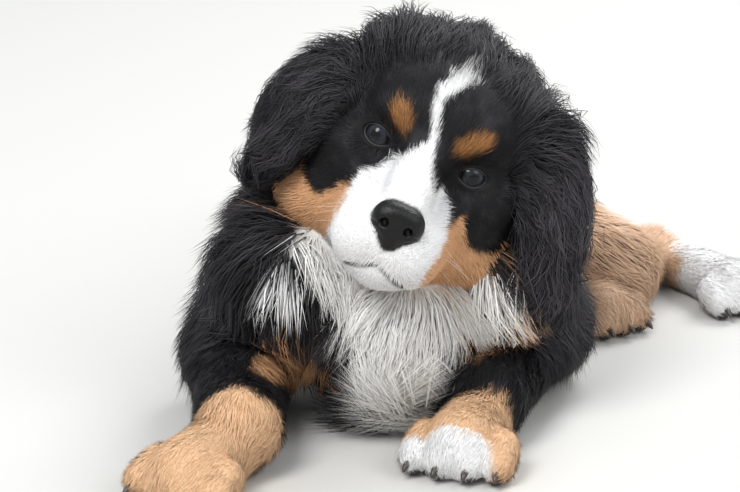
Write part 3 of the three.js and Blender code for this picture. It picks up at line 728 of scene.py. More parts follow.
# The coat of each part: length and width of a tuft, how high its tip stands off the skin, how many
# grow on a square mm, how far neighbours lean together, how much they wave
coats = {
    "muzzle": [6, 0.8, 0.9, 3.4, 0.1, 0.0],
    "face": [8, 0.8, 1.7, 2.2, 0.2, 0.2],
    "cheek": [28, 0.8, 12, 1.3, 0.5, 1.2],
    "crown": [34, 0.85, 16, 0.9, 0.65, 3.2],
    "ear": [32, 0.9, 8, 0.9, 0.75, 5.5],
    "neck": [32, 0.78, 16, 0.55, 0.5, 2.4],
    "torso": [33, 0.86, 15, 0.2, 0.5, 2.6],
    "front_upper": [30, 0.95, 14, 0.4, 0.55, 2.0],
    "front_lower": [13, 0.95, 3.4, 1.1, 0.3, 0.6],
    "front_paw": [8, 0.9, 2.0, 1.9, 0.2, 0.2],
    "hind_upper": [25, 1.0, 8, 0.3, 0.5, 1.8],
    "hind_lower": [16, 1.0, 5, 0.9, 0.3, 0.8],
    "hind_paw": [8, 0.9, 2.2, 1.6, 0.2, 0.2],
    "tail": [38, 1.3, 16, 0.35, 0.5, 2.2],
}
lengthIn, liftIn, growthIn = 0, 2, 3  # where those values stand in a row
trunkMiddle = -10


# The way the coat of each part lies, as rows of directions
def headLie(p):
    left, ahead, up = inHead(p).T
    side = np.clip(left / 30, -1.2, 1.2)
    rise = mix(-0.75, 1.1, smooth(-14, 12, up)) * smooth(60, 20, ahead)
    rise = rise * mix(1, 0.35, smooth(-20, -50, ahead))
    fan = side * mix(0.35, 0.75, smooth(10, -10, ahead))
    back = -mix(1.0, 0.55, smooth(0, 20, up) * smooth(-35, 0, ahead))
    # round each eye the coat runs away from it
    lie = np.stack([fan, back, rise], axis=1)
    for s in sides:
        out = np.stack([left - s * head["eyeSpacing"] / 2, np.zeros(len(p)), up], axis=1)
        close = smooth(20, 9, lengths(out)) * smooth(-30, -5, ahead)
        lie = lie + unit(out) * close[:, None] * 1.2
    return unit(lie) @ headAxes


def neckLie(p):
    back = smooth(20, 95, p[:, 1])
    aside = (p[:, 0] - trunkMiddle) / 75
    return unit(np.stack([aside, mix(-1.0, 0.9, back), mix(-0.9, -0.45, back)], axis=1))


def torsoLie(p):
    chest = smooth(60, 5, p[:, 1])[:, None]
    aside = np.clip(np.abs(p[:, 0] - trunkMiddle) / 55, 0, 1)
    ribs = np.stack([np.zeros(len(p)), np.ones(len(p)), -0.2 - 0.8 * aside], axis=1)
    front = np.stack([(p[:, 0] - trunkMiddle) / 75, np.full(len(p), -1.0), np.full(len(p), -0.9)], axis=1)
    return unit(mix(ribs, front, chest))


def evenLie(way):
    return lambda p: np.tile(unit(way), (len(p), 1))


def alongLie(a, b, down):
    return evenLie(unit(vec(*b[:3]) - vec(*a[:3])) + vec(0, 0, -down))


def tailLie(p):
    k = nearest(p, np.array(tailLine)[:, :3])[0]
    ways = np.diff(np.array(tailLine)[:, :3], axis=0)
    return unit(unit(ways)[np.minimum(k, len(ways) - 1)])


def earLie(s):
    own = earData[s]
    fan = np.cross(headAxes[1], own["along"])

    def lie(p):
        k = nearest(p, own["place"])[0]
        return unit(own["along"][k] + 0.25 * own["v"][k][:, None] * unit(fan[k]) * -s)

    return lie


lies = {"head": headLie, "neck": neckLie, "torso": torsoLie, "tail": tailLie}
kinds = {"neck": "neck", "tail": "tail"}
for s in sides:
    lies["ear_" + sideNames[s]] = earLie(s)
for name, (a, b, c, d) in legs.items():
    end = name.split("_")[0]
    lies[name + "_upper"] = evenLie(vec(0, 0.35, -0.95)) if end == "front" else alongLie(a, b, 0.35)
    lies[name + "_lower"] = alongLie(b, c, 0.2)
    lies[name + "_paw"] = alongLie(c, d, 0.1)
    for section in ("upper", "lower", "paw"):
        kinds[f"{name}_{section}"] = f"{end}_{section}"


# Short on muzzle and face, long on crown and cheeks
def headCoat(p):
    left, ahead, up = inHead(p).T
    onMuzzle = smooth(8, 22, ahead + 0.4 * np.abs(left)) * smooth(12, 0, up)
    long = smooth(-2, -26, ahead - np.clip(-up - 30, 0, 30) * 0.5)
    high = smooth(-12, 12, up)
    deep = mix(np.array(coats["cheek"]), np.array(coats["crown"]), high[:, None])
    # longer over the folds of the ears and under the cheeks
    overFold = smooth(24, 44, np.abs(left)) * smooth(18, 32, up)
    low = smooth(-34, -54, up) * smooth(12, -8, ahead)
    deep[:, lengthIn] *= 1 + 0.25 * overFold + 0.2 * low
    deep[:, liftIn] *= 1 + 0.5 * overFold + 0.45 * low
    bare = mix(np.array(coats["face"]), np.array(coats["muzzle"]), onMuzzle[:, None])
    return mix(bare, deep, long[:, None])


# The ear's coat lies close at the fold, and on the free left ear it stands fuller lower down
def earCoat(p, s):
    t = earData[s]["t"][nearest(p, earData[s]["place"])[0]]
    own = np.tile(np.array(coats["ear"], dtype=float), (len(p), 1))
    fuller = [0.7, 0.8, 1.0, 1.7, 2.1, 1.4] if s > 0 else [0.7, 0.8, 1.0, 1.0, 1.0, 0.9]
    own[:, liftIn] *= np.interp(t, [0, 0.3, 0.5, 0.7, 0.85, 1], fuller)
    return own


# The chest's coat hangs longer low down between the front legs
def torsoCoat(p):
    x, y, z = p.T
    low = smooth(60, 25, z) * smooth(45, 10, y) * smooth(50, 25, np.abs(x - trunkMiddle + 8))
    own = np.tile(np.array(coats["torso"], dtype=float), (len(p), 1))
    own[:, lengthIn] *= 1 + 0.5 * low
    own[:, liftIn] *= 1 + 0.5 * low
    own[:, growthIn] *= 1 + 0.6 * low
    return own


def coatOf(name, p):
    if name == "head":
        return headCoat(p)
    if name == "torso":
        return torsoCoat(p)
    if name.startswith("ear"):
        return earCoat(p, 1 if name == "ear_left" else -1)
    return np.array(coats[kinds[name]], dtype=float)


# What grows at each place of the skin: how much each part has of it, coat values and lie
def placeOf(p):
    far = np.stack([part(p) for part in parts.values()], axis=1)
    share = np.exp(-(far - far.min(axis=1, keepdims=True)) / 4.5)  # the parts mix over about 4.5 mm
    share /= share.sum(axis=1, keepdims=True)
    near = dict(zip(parts, share.T))
    values = np.zeros((len(p), 6))
    lie = np.zeros((len(p), 3))
    for name in parts:
        some = near[name] > 0.02
        if some.any():
            values[some] += coatOf(name, p[some]) * near[name][some, None]
            lie[some] += lies[name](p[some]) * near[name][some, None]
    return {"part": share.argmax(axis=1), "share": share, "values": values, "lie": unit(lie)}


def colourOf(p, share):
    near = dict(zip(parts, share.T))
    ears = near["ear_right"] + near["ear_left"]
    colour = markOf(p, smooth(0.35, 0.65, near["head"]))
    colour = mix(colour, linear(colours["black"]), smooth(0.3, 0.6, ears)[:, None])
    return legMarks(p, colour, near)


partNames = list(parts)
grown = placeOf(skinPoints)
grown["colour"] = colourOf(skinPoints, grown["share"])
print("Markings and lie of the coat ready")


# An unwrap of the skin, through which the coat's bake map places its tufts
def unwrap(piece):
    bpy.context.view_layer.objects.active = piece
    piece.select_set(True)
    piece.data.uv_layers.new(name="OFBake")
    bpy.ops.object.mode_set(mode="EDIT")
    bpy.ops.mesh.select_all(action="SELECT")
    bpy.ops.uv.smart_project(angle_limit=math.radians(66), island_margin=0.002)
    bpy.ops.object.mode_set(mode="OBJECT")
    piece.select_set(False)
    uv = np.empty(len(piece.data.loops) * 2)
    piece.data.uv_layers["OFBake"].uv.foreach_get("vector", uv)
    return uv.reshape(-1, 4, 2)


skinUv = unwrap(skin)
print("Skin unwrapped")

# Each coat piece: the parts it covers, how many tufts, the rings of each tuft, and for some how strong the
# painted sheen on their black tips is
coatPieces = {
    "coat_muzzle": {"parts": ["head"], "tufts": 30000, "rings": 1, "where": "muzzle"},
    "coat_face": {"parts": ["head"], "tufts": 26000, "rings": 1, "where": "face"},
    "coat_crown": {"parts": ["head"], "tufts": 8800, "rings": 4, "where": "crown", "shine": 0.7},
    "coat_cheeks": {"parts": ["head"], "tufts": 8500, "rings": 3, "where": "cheek"},
    "coat_ear_right": {"parts": ["ear_right"], "tufts": 4600, "rings": 4, "shine": 0.9},
    "coat_ear_left": {"parts": ["ear_left"], "tufts": 4600, "rings": 4, "shine": 2.2},
    "coat_neck": {"parts": ["neck"], "tufts": 12500, "rings": 2},
    "coat_chest": {"parts": ["torso"], "tufts": 17000, "rings": 2, "where": "front"},
    "coat_back": {"parts": ["torso"], "tufts": 7500, "rings": 2, "where": "rear"},
    "coat_arm_right": {"parts": ["front_right_upper"], "tufts": 5000, "rings": 2},
    "coat_arm_left": {"parts": ["front_left_upper"], "tufts": 5000, "rings": 2, "shine": 1.5},
    "coat_foreleg_right": {"parts": ["front_right_lower", "front_right_paw"], "tufts": 14000, "rings": 1},
    "coat_foreleg_left": {"parts": ["front_left_lower", "front_left_paw"], "tufts": 14000, "rings": 1},
    "coat_thigh_right": {"parts": ["hind_right_upper"], "tufts": 1800, "rings": 2},
    "coat_thigh_left": {"parts": ["hind_left_upper"], "tufts": 3600, "rings": 2},
    "coat_hind_leg_right": {"parts": ["hind_right_lower", "hind_right_paw"], "tufts": 6000, "rings": 1},
    "coat_hind_leg_left": {"parts": ["hind_left_lower", "hind_left_paw"], "tufts": 9000, "rings": 1},
    "coat_tail": {"parts": ["tail"], "tufts": 2000, "rings": 2},
}
tuft = {
    "sink": [0.35, 0.22, 1.6],  # mm the root lies under the skin: at least, more by lift, at most
    "soft": [0.4, 0.82],  # how far a dark and a pale tuft are lit like the skin under them
    "flat": 0.55,  # thickness against width
    "lengths": [0.7, 1.3],  # from the shortest to the longest, against the piece's own
    "lifts": [0.55, 1.25],
    "widths": [0.75, 1.25],
    "wave": 22,  # mm of length to a whole wave
    "lock": [9, 1.3, 0.85],  # tufts to a leader, how late they lean to it, how far at most
    "darkTones": [0.72, 1.25],  # from the darkest to the brightest of the dark tufts, and of the pale ones
    "paleTones": [0.9, 1.05],
    "patch": 0.003,  # of the bake map
    "rise": 0.75,  # below 1 the tip lies over, above 1 it stands up
    "floor": 0.7,  # mm over the floor that the lowest hair keeps
    "seen": [0.65, 0.45],  # from its middle to its tip, where the most of a short and of a long tuft shows
    "stray": [0.5, 0.04],  # mm that hairs of either colour mix along an edge, and more by length
}
quadPoints = skinPoints[skinQuads]
quadArea = lengths(np.cross(quadPoints[:, 2] - quadPoints[:, 0], quadPoints[:, 3] - quadPoints[:, 1])) / 2
quadMiddle = quadPoints.mean(axis=1)
quadPart = grown["part"][skinQuads[:, 0]]
skinData = {"at": skinPoints, "out": skinNormals} | {key: grown[key] for key in ("values", "lie", "share")}


def whereOn(kind):
    up = inHead(quadMiddle)[:, 2]
    length = grown["values"][skinQuads[:, 0], lengthIn]
    if kind in ("muzzle", "face"):
        return (length < 14) & ((length < 7) == (kind == "muzzle"))
    if kind in ("crown", "cheek"):
        return (length >= 14) & ((up > 0) == (kind == "crown"))
    return (quadMiddle[:, 1] < 70) == (kind == "front")


# Where nothing grows: in the eyes, under the nose, in the mouth and against the floor
bareWithin = {"floor": 2.5, "eye": 2.6, "opening": 1.0, "mouth": 1.3, "nose": 0.3}  # mm


def bareSpots(p):
    bare = p[:, 2] < bareWithin["floor"]
    for s, opening in zip(sides, openings):
        close = lengths(p - eyeAt(s)) < head["eyeRadius"] + bareWithin["eye"]
        bare |= close & (opening(p) < bareWithin["opening"])
    return bare | (mouth(p) < bareWithin["mouth"]) | (noseForm(p) < bareWithin["nose"])


# Places of a piece's tufts, drawn over its quads, with what grows there
def rootsOf(name):
    own = coatPieces[name]
    chosen = np.isin(quadPart, [partNames.index(part) for part in own["parts"]])
    if "where" in own:
        chosen &= whereOn(own["where"])
    weight = quadArea * grown["values"][skinQuads[:, 0], growthIn] * chosen
    quad = random.choice(len(weight), own["tufts"], p=weight / weight.sum())
    a, b = random.random((2, own["tufts"], 1))
    corners = {key: values[skinQuads[quad]] for key, values in skinData.items()}
    corners["uv"] = skinUv[quad]
    data = {}
    for key, c in corners.items():
        data[key] = mix(mix(c[:, 0], c[:, 1], a), mix(c[:, 3], c[:, 2], a), b)
    keep = ~bareSpots(data["at"])
    return {key: values[keep] for key, values in data.items()}


# The line of each tuft, from its sunk root over the skin to its tip
def pathsOf(roots, form, rings):
    count = len(roots["at"])
    length, width, lift, _, clump, wave = roots["values"].T
    length = length * random.uniform(*tuft["lengths"], count)
    lift = lift * random.uniform(*tuft["lifts"], count) * (1 + 0.35 * noise(roots["at"], 14, 3.7))
    out = unit(roots["out"])
    swirl = 0.55 * noise(roots["at"], 16, 1.2) + 0.35 * noise(roots["at"], 5, 7.4)
    swirl = swirl * np.clip(length / 25, 0.25, 1) + 0.12 * random.standard_normal(count)
    curl = 0.5 * noise(roots["at"], 11, 9.1) * np.clip(length / 25, 0.2, 1)
    phase = 3 * noise(roots["at"], 9, 4.4) + random.uniform(-0.5, 0.5, count)
    lie = turned(roots["lie"], out, swirl)
    stages = np.linspace(0, 1, rings + 1)
    place = roots["at"].copy()
    least, more, most = tuft["sink"]
    path, outs = [place - out * np.minimum(least + more * lift, most)[:, None]], [out]
    for i in range(rings):
        step = stages[i + 1] - stages[i]
        place = place + lie * (length * step)[:, None]
        out, far = slope(form, place, 1.0)
        place = place - out * np.clip(far, -2.5, 3)[:, None]
        lie = turned(lie, out, curl / rings)
        height = lift * stages[i + 1] ** tuft["rise"]
        turn = 2 * math.pi * stages[i + 1] * length / tuft["wave"]
        sway = wave * stages[i + 1] * np.sin(phase + turn)
        path.append(place + out * height[:, None] + np.cross(out, lie) * sway[:, None])
        outs.append(out)
    path = gathered(np.stack(path, axis=1), clump, stages)
    return path, outs, width * random.uniform(*tuft["widths"], count)


# A direction laid flat on the skin and turned about the way out
def turned(lie, out, angle):
    lie = unit(lie - out * np.einsum("ij,ij->i", lie, out)[:, None])
    return lie * np.cos(angle)[:, None] + np.cross(out, lie) * np.sin(angle)[:, None]


# Tufts lean towards the tip of a leader near them, as the hair of a lock does
def gathered(path, clump, stages):
    count = len(path)
    each, late, most = tuft["lock"]
    leaders = random.choice(count, max(count // each, 1), replace=False)
    tree = KDTree(len(leaders))
    for i, k in enumerate(leaders):
        tree.insert(path[k, 0], i)
    tree.balance()
    follow = leaders[[tree.find(p)[1] for p in path[:, 0]]]
    pull = clump[:, None] * stages[None] ** late
    return mix(path, path[follow], pull[..., None] * most)


# The colour of each ring of each tuft: painted shade towards the root and a lighter tip, and a painted sheen
# laid on black hair
def tuftShade(tips, length, colour, light, shine, ringShare):
    # neighbouring tufts of one lock get painted light together: a lighter or darker tone on pale hair, more
    # painted sheen on black hair
    lock = smooth(-0.5, 0.9, noise(tips, 4.5, 6.1) + noise(tips, 15, 2.9) * 0.6)
    dark, pale = (random.uniform(*tuft[key], len(tips)) for key in ("darkTones", "paleTones"))
    tone = mix(dark, pale, light[:, 0])
    tone = tone * mix(1, 0.9 + 0.2 * lock, smooth(6, 20, length) * light[:, 0])
    # painted shade: each tuft is darker towards its root, deep in the coat where shade falls, and lighter at
    # its tip
    along = mix(mix(0.5, 1.15, ringShare**0.7)[None], mix(0.85, 1.02, ringShare)[None], light)
    shade = colour[:, None] * (tone[:, None] * along)[..., None]
    # painted highlight: how much painted sheen each black tuft's tip gets, by chance and by its lock
    bright = random.uniform(0, 0.35, len(tips)) + 0.85 * lock * lock
    paintedSheen = np.clip(shine * bright * smooth(-6, 32, length), 0, 1)[:, None] * ringShare[None] ** 1.2
    dark = np.clip(1 - colour.max(axis=1, keepdims=True) / 0.05, 0, 1)
    return mix(shade, linear(colours["paintedSheenOnBlack"]), (paintedSheen * dark)[..., None])


# Closed tufts of three sides, each a few rings and a tip
def tuftMesh(name, path, outs, width, length, colour, uv, shine):
    count, rings = path.shape[0], path.shape[1] - 1
    path[..., 2] = np.maximum(path[..., 2], tuft["floor"])
    share = np.linspace(0, 1, rings + 1)
    light = smooth(0.15, 0.6, colour.mean(axis=1))[:, None]
    soft = mix(tuft["soft"][0], tuft["soft"][1], light)
    points, normals = [], []
    for i in range(rings):
        way = unit(path[:, min(i + 1, rings)] - path[:, max(i - 1, 0)])
        out = unit(outs[i] - way * np.einsum("ij,ij->i", outs[i], way)[:, None])
        across = np.cross(way, out)
        half = width / 2 * (0.75 + 0.5 * share[i] - 1.15 * share[i] ** 2)
        for k in range(3):
            turn = math.pi / 2 + 2 * math.pi * k / 3
            offset = across * math.cos(turn) + out * math.sin(turn) * tuft["flat"]
            points.append(path[:, i] + offset * half[:, None])
            normals.append(unit(mix(unit(offset), outs[i], soft)))
    points.append(path[:, rings])
    normals.append(outs[rings])
    points = np.stack(points, axis=1)
    points[..., 2] = np.maximum(points[..., 2], tuft["floor"])
    size = 3 * rings + 1
    base = (np.arange(count) * size)[:, None]
    caps = [[0, 1, 2]] + [[3 * (rings - 1) + (k + 1) % 3, 3 * (rings - 1) + k, size - 1] for k in range(3)]
    quads = [
        [3 * i + (k + 1) % 3, 3 * i + k, 3 * i + 3 + k, 3 * i + 3 + (k + 1) % 3]
        for i in range(rings - 1)
        for k in range(3)
    ]
    faces = [(base[:, None] + np.array(caps)[None]).reshape(-1, 3)]
    if quads:
        faces.append((base[:, None] + np.array(quads)[None]).reshape(-1, 4))
    piece = meshOf(name, points.reshape(-1, 3), faces)
    piece.data.normals_split_custom_set_from_vertices(np.stack(normals, axis=1).reshape(-1, 3))
    ringShare = np.append(np.repeat(share[:rings], 3), 1)
    shade = tuftShade(path[:, rings], length, colour, light, shine, ringShare)
    paint(piece, "coatColour", shade.reshape(-1, 3))
    local = np.array([[k / 3, i / rings] for i in range(rings) for k in range(3)] + [[0.5, 1]])
    places = (uv[:, None] + (local[None] - 0.5) * tuft["patch"]).reshape(-1, 2)
    corners = np.concatenate([f.ravel() for f in faces])
    piece.data.uv_layers.new(name="OFBake").uv.foreach_set("vector", places[corners].ravel())
    return piece


# The nose: a broad pad, narrow below, with comma-shaped nostrils and a groove down the middle
nose = {"depth": 55, "grid": 0.6, "reach": [19, 13, 17], "block": 6}
noseShape = joined(
    [oval(onHead(0, nose["depth"], -18.5), [11, 7, 6], headAxes)]
    + [oval(onHead(s * 7, nose["depth"], -23), [6.6, 6.6, 7], headAxes) for s in sides]
    + [oval(onHead(0, nose["depth"], -30), [6.5, 6, 8], headAxes)],
    5,
)
nostrils = [
    joined(
        [
            oval(onHead(s * 6.4, 62.5, -24), [2.4, 4.5, 2.7], headAxes),
            bar(onHead(s * 8, 62, -25.5), onHead(s * 12.5, 58, -26.5), 1.6, 0.8),
        ],
        1.5,
    )
    for s in sides
]
noseGroove = bar(onHead(0, 63.5, -25), onHead(0, 60, -37), 0.9, 0.9)
noseForm = hollowed(noseShape, nostrils + [noseGroove], 1.4)


def nosePad():
    middle = onHead(0, nose["depth"], -24)
    lines = [np.arange(m - r, m + r, nose["grid"]) for m, r in zip(middle, nose["reach"])]
    points, quads = netRound(fieldOn(noseForm, lines, nose["block"]), lines)
    normal, far = slope(noseForm, points, 0.1)
    return meshOf("nose_pad", points - normal * np.clip(far, -0.4, 0.4)[:, None], [quads])


# Faces of rings of points between a first and a last single point
def ringFaces(rings, count):
    caps, quads = [], []
    last = 1 + rings * count
    for k in range(count):
        a, b = 1 + k, 1 + (k + 1) % count
        far = (rings - 1) * count
        caps += [[0, b, a], [last, a + far, b + far]]
        for i in range(0, far, count):
            quads.append([a + i, b + i, b + i + count, a + i + count])
    return [np.array(caps), np.array(quads)]


# Steps round a circle, as cosine and sine
def circle(count):
    turns = [2 * math.pi * k / count for k in range(count)]
    return [(math.cos(turn), math.sin(turn)) for turn in turns]


# A tube of rings along a path, closed at both ends
def tube(path, radii, count):
    path = np.asarray(path, dtype=float)
    ways = unit(np.gradient(path, axis=0))
    points = [path[0]]
    for i, (at, way) in enumerate(zip(path, ways)):
        across = unit(np.cross(way, vec(0, 0, 1)))
        over = np.cross(across, way)
        for c, t in circle(count):
            points.append(at + radii[i] * (across * c + over * t))
    points.append(path[-1])
    return np.array(points), ringFaces(len(path), count)


# Eyes: a ball with the clear cornea bulging in front; the iris is told by the place across its axis
eye = {
    "rings": 40,
    "sides": 48,
    "bulge": 1.1,  # mm that the cornea stands out
    "bulgeEnd": 7.4,
}


def eyeball(s):
    deep = eyeWay(s)
    axes = eyeAxes(s)
    radius = head["eyeRadius"]
    rows, places = [eyeAt(s) + deep * (radius + eye["bulge"])], [[0, 0, 0]]
    for i in range(1, eye["rings"]):
        lean = math.pi * i / eye["rings"]
        out = radius * math.sin(lean)
        bulge = eye["bulge"] * max(1 - (out / eye["bulgeEnd"]) ** 2, 0) * (lean < math.pi / 2)
        for c, t in circle(eye["sides"]):
            wide, high = out * c, out * t
            rows.append(eyeAt(s) + axes[0] * wide + axes[2] * high + deep * (radius * math.cos(lean) + bulge))
            places.append([wide, high, math.cos(lean)])
    rows.append(eyeAt(s) - deep * radius)
    places.append([0, 0, -1])
    faces = ringFaces(eye["rings"] - 1, eye["sides"])
    piece = meshOf("eyeball_" + sideNames[s], np.array(rows), faces)
    layer = piece.data.attributes.new("irisPlace", "FLOAT_VECTOR", "POINT")
    layer.data.foreach_set("vector", np.array(places, dtype=float).ravel())
    facingOut(piece)
    return piece


def facingOut(piece):
    work = bmesh.new()
    work.from_mesh(piece.data)
    bmesh.ops.recalc_face_normals(work, faces=work.faces)
    work.to_mesh(piece.data)
    work.free()


# The dark wet rim of the lids, an almond drawn out to the inner corner
rim = {"wide": 7.3, "high": 5.0, "radius": 0.75, "stand": 0.55, "steps": 56, "sides": 8, "corner": 1.6}


def lidRim(s):
    wide, deep, high = eyeAxes(s)
    path = []
    for c, t in circle(rim["steps"]):
        inner = max(-c * s * np.sign(np.dot(wide, headAxes[0])), 0) ** 6
        across = rim["wide"] * c * (1 + inner * rim["corner"] / rim["wide"])
        rise = rim["high"] * t * (1 - 0.15 * inner)
        reach = head["eyeRadius"] + rim["stand"]
        depth = math.sqrt(max(reach**2 - across**2 - rise**2, 1))
        path.append(eyeAt(s) + wide * across + high * rise + deep * depth)
    path = np.array(path)
    count, ring = rim["sides"], rim["steps"]
    ways = unit(np.roll(path, -1, axis=0) - np.roll(path, 1, axis=0))
    outs = unit(path - eyeAt(s))
    across = unit(np.cross(ways, outs))
    points, quads = [], []
    for k, (c, t) in enumerate(circle(count)):
        points.append(path + rim["radius"] * (across * c + outs * t))
        a, b = k * ring, (k + 1) % count * ring
        for i in range(ring):
            j = (i + 1) % ring
            quads.append([a + i, b + i, b + j, a + j])
    piece = meshOf("lid_rim_" + sideNames[s], np.concatenate(points), [np.array(quads)])
    facingOut(piece)
    return piece


def clawsOf(name):
    made = []
    part = name + ("_paw" if name.startswith("front") else "_foot")
    for i, (_, end, way) in enumerate(paws[name]["toes"]):
        start = end + way * paws[name]["radius"] * 0.5
        start[2] = paws[name]["radius"] * 0.78
        t = np.linspace(-0.25, 1, claw["rings"])
        rise = claw["bend"][0] * t + claw["bend"][1] * t * t
        path = start + way * (t * claw["length"])[:, None] + np.outer(rise, vec(0, 0, 1))
        radii = claw["radius"] * np.sqrt(np.clip(1.02 - 0.98 * np.clip(t, 0, 1) ** 2, 0.01, 1))
        piece = meshOf(f"claw_{name}_{i + 1}", *tube(path, radii, claw["sides"]))
        facingOut(piece)
        made.append((piece, f"{part}_claw_{i + 1}"))
    return made


# Pads under the toes and behind them
pad = {"toe": [5.2, 6.2, 4.2], "sole": [12, 8, 6], "sides": 20, "rings": 12}


def padsOf(name):
    own = paws[name]
    ahead, across = own["ahead"], vec(-own["ahead"][1], own["ahead"][0], 0)
    scale = own["radius"] / 10
    places = [(end + way * 2.5, pad["toe"]) for _, end, way in own["toes"]]
    middle = np.mean([root for root, _, _ in own["toes"]], axis=0) - ahead * 9
    places.append((middle, pad["sole"]))
    points, quads, caps = [], [], []
    for at, half in places:
        base = len(points)
        for i in range(pad["rings"] + 1):
            lean = math.pi * i / pad["rings"]
            flat = math.sin(lean) + 0.001
            for c, t in circle(pad["sides"]):
                p = at * [1, 1, 0] + scale * flat * (across * half[0] * c + ahead * half[1] * t)
                p[2] = max(half[2] + 0.3 + half[2] * math.cos(lean), 0.35)
                points.append(p)
        for i in range(pad["rings"]):
            for k in range(pad["sides"]):
                a, b = base + i * pad["sides"] + k, base + i * pad["sides"] + (k + 1) % pad["sides"]
                quads.append([a, b, b + pad["sides"], a + pad["sides"]])
        last = len(points) - pad["sides"]
        caps.append([base + k for k in reversed(range(pad["sides"]))])
        caps.append([last + k for k in range(pad["sides"])])
    return meshOf("pads_" + name, np.array(points), [np.array(quads), np.array(caps)])


# Whiskers: single lines that a node tree turns into tapered hairs
whisker = {
    "thickness": 0.0001,  # metres
    "sides": 5,
    "rows": [[-30, 1, 8], [-36, 2, 10], [-42, 1, 15]],  # how far up, how many, how far back the first
    "from": [26, 44],  # how far out and ahead of the eyes the rows are counted from
    "apart": 5.5,
    "length": 17,
    "lengths": [0.7, 1.1],  # shortest and longest, against that length
    "droop": 0.25,
    "steps": 6,
}


def whiskerLines():
    points, edges = [], []

    def line(root, way, length):
        base = len(points)
        for t in np.linspace(0, 1, whisker["steps"] + 1):
            points.append(root + way * length * t + vec(0, 0, -whisker["droop"]) * t * t * length)
        edges.extend([[base + i, base + i + 1] for i in range(whisker["steps"])])

    aside, front = whisker["from"]
    for s in sides:
        for up, count, first in whisker["rows"]:
            for k in range(count):
                ahead = front - first - whisker["apart"] * k
                root = settle(onHead(s * aside, ahead, up)[None], bareHead, -0.5)[0]
                out = unit(headWay(s, 0.25 - 0.22 * k, -0.25 + 0.1 * random.standard_normal()))
                line(root, out, whisker["length"] * random.uniform(*whisker["lengths"]))
    mesh = bpy.data.meshes.new("whiskers")
    mesh.from_pydata([tuple(p) for p in toScene(points)], edges, [])
    return placed("whiskers", mesh)


def node(tree, kind, settings=None, **inputs):
    made = tree.nodes.new(kind)
    for key, value in (settings or {}).items():
        setattr(made, key, value)
    for key, value in inputs.items():
        name = key.replace("_", " ")
        socket = made.inputs[int(key[1:])] if key[0] == "i" and key[1:].isdigit() else made.inputs[name]
        if isinstance(value, bpy.types.NodeSocket):
            tree.links.new(value, socket)
        else:
            socket.default_value = value
    return made


def whiskerTree(material):
    tree = bpy.data.node_groups.new("whiskerHairs", "GeometryNodeTree")
    face = tree.interface
    face.new_socket("Geometry", in_out="INPUT", socket_type="NodeSocketGeometry")
    thickness = face.new_socket("Thickness", in_out="INPUT", socket_type="NodeSocketFloat")
    thickness.default_value = whisker["thickness"]
    around = face.new_socket("Sides", in_out="INPUT", socket_type="NodeSocketInt")
    around.default_value = whisker["sides"]
    face.new_socket("Geometry", in_out="OUTPUT", socket_type="NodeSocketGeometry")
    given = tree.nodes.new("NodeGroupInput")
    lines = node(tree, "GeometryNodeMeshToCurve", Mesh=given.outputs["Geometry"])
    share = tree.nodes.new("GeometryNodeSplineParameter")
    thin = node(tree, "ShaderNodeMapRange", i0=share.outputs["Factor"], i3=1.0, i4=0.12)
    sized = node(tree, "ShaderNodeMath", {"operation": "MULTIPLY"}, i0=thin.outputs[0])
    tree.links.new(given.outputs["Thickness"], sized.inputs[1])
    taper = node(tree, "GeometryNodeSetCurveRadius", Curve=lines.outputs["Curve"], Radius=sized.outputs[0])
    ring = node(tree, "GeometryNodeCurvePrimitiveCircle", Resolution=given.outputs["Sides"], Radius=1.0)
    hairs = node(tree, "GeometryNodeCurveToMesh", Curve=taper.outputs["Curve"], Fill_Caps=True)
    tree.links.new(ring.outputs["Curve"], hairs.inputs["Profile Curve"])
    if "Scale" in hairs.inputs:
        tree.links.new(sized.outputs[0], hairs.inputs["Scale"])
    soft = node(tree, "GeometryNodeSetShadeSmooth", Geometry=hairs.outputs["Mesh"])
    real = node(tree, "GeometryNodeRealizeInstances", Geometry=soft.outputs["Geometry"])
    done = node(tree, "GeometryNodeSetMaterial", Geometry=real.outputs["Geometry"], Material=material)
    tree.links.new(done.outputs["Geometry"], tree.nodes.new("NodeGroupOutput").inputs[0])
    return tree


def whiskers(material):
    piece = whiskerLines()
    modifier = piece.modifiers.new("hairs", "NODES")
    modifier.node_group = whiskerTree(material)
    graph = bpy.context.evaluated_depsgraph_get()
    mesh = bpy.data.meshes.new_from_object(piece.evaluated_get(graph))
    piece.modifiers.remove(modifier)
    piece.data = mesh
    return piece


# Materials
def material(name, **settings):
    made = bpy.data.materials.new(name)
    made.use_nodes = True
    shader = made.node_tree.nodes["Principled BSDF"]
    for key, value in settings.items():
        shader.inputs[key.replace("_", " ")].default_value = value
    return made, made.node_tree, shader


def plain(hexColour):
    return (*linear(hexColour), 1)


def furMaterial():
    # puppy hair: soft, slightly oily guard hair with a broad, weak shine along the strands
    made, tree, shader = material("puppyHair", Roughness=0.5, Specular_IOR_Level=0.2)
    colour = node(tree, "ShaderNodeAttribute", {"attribute_name": "coatColour"})
    tree.links.new(colour.outputs["Color"], shader.inputs["Base Color"])
    return made


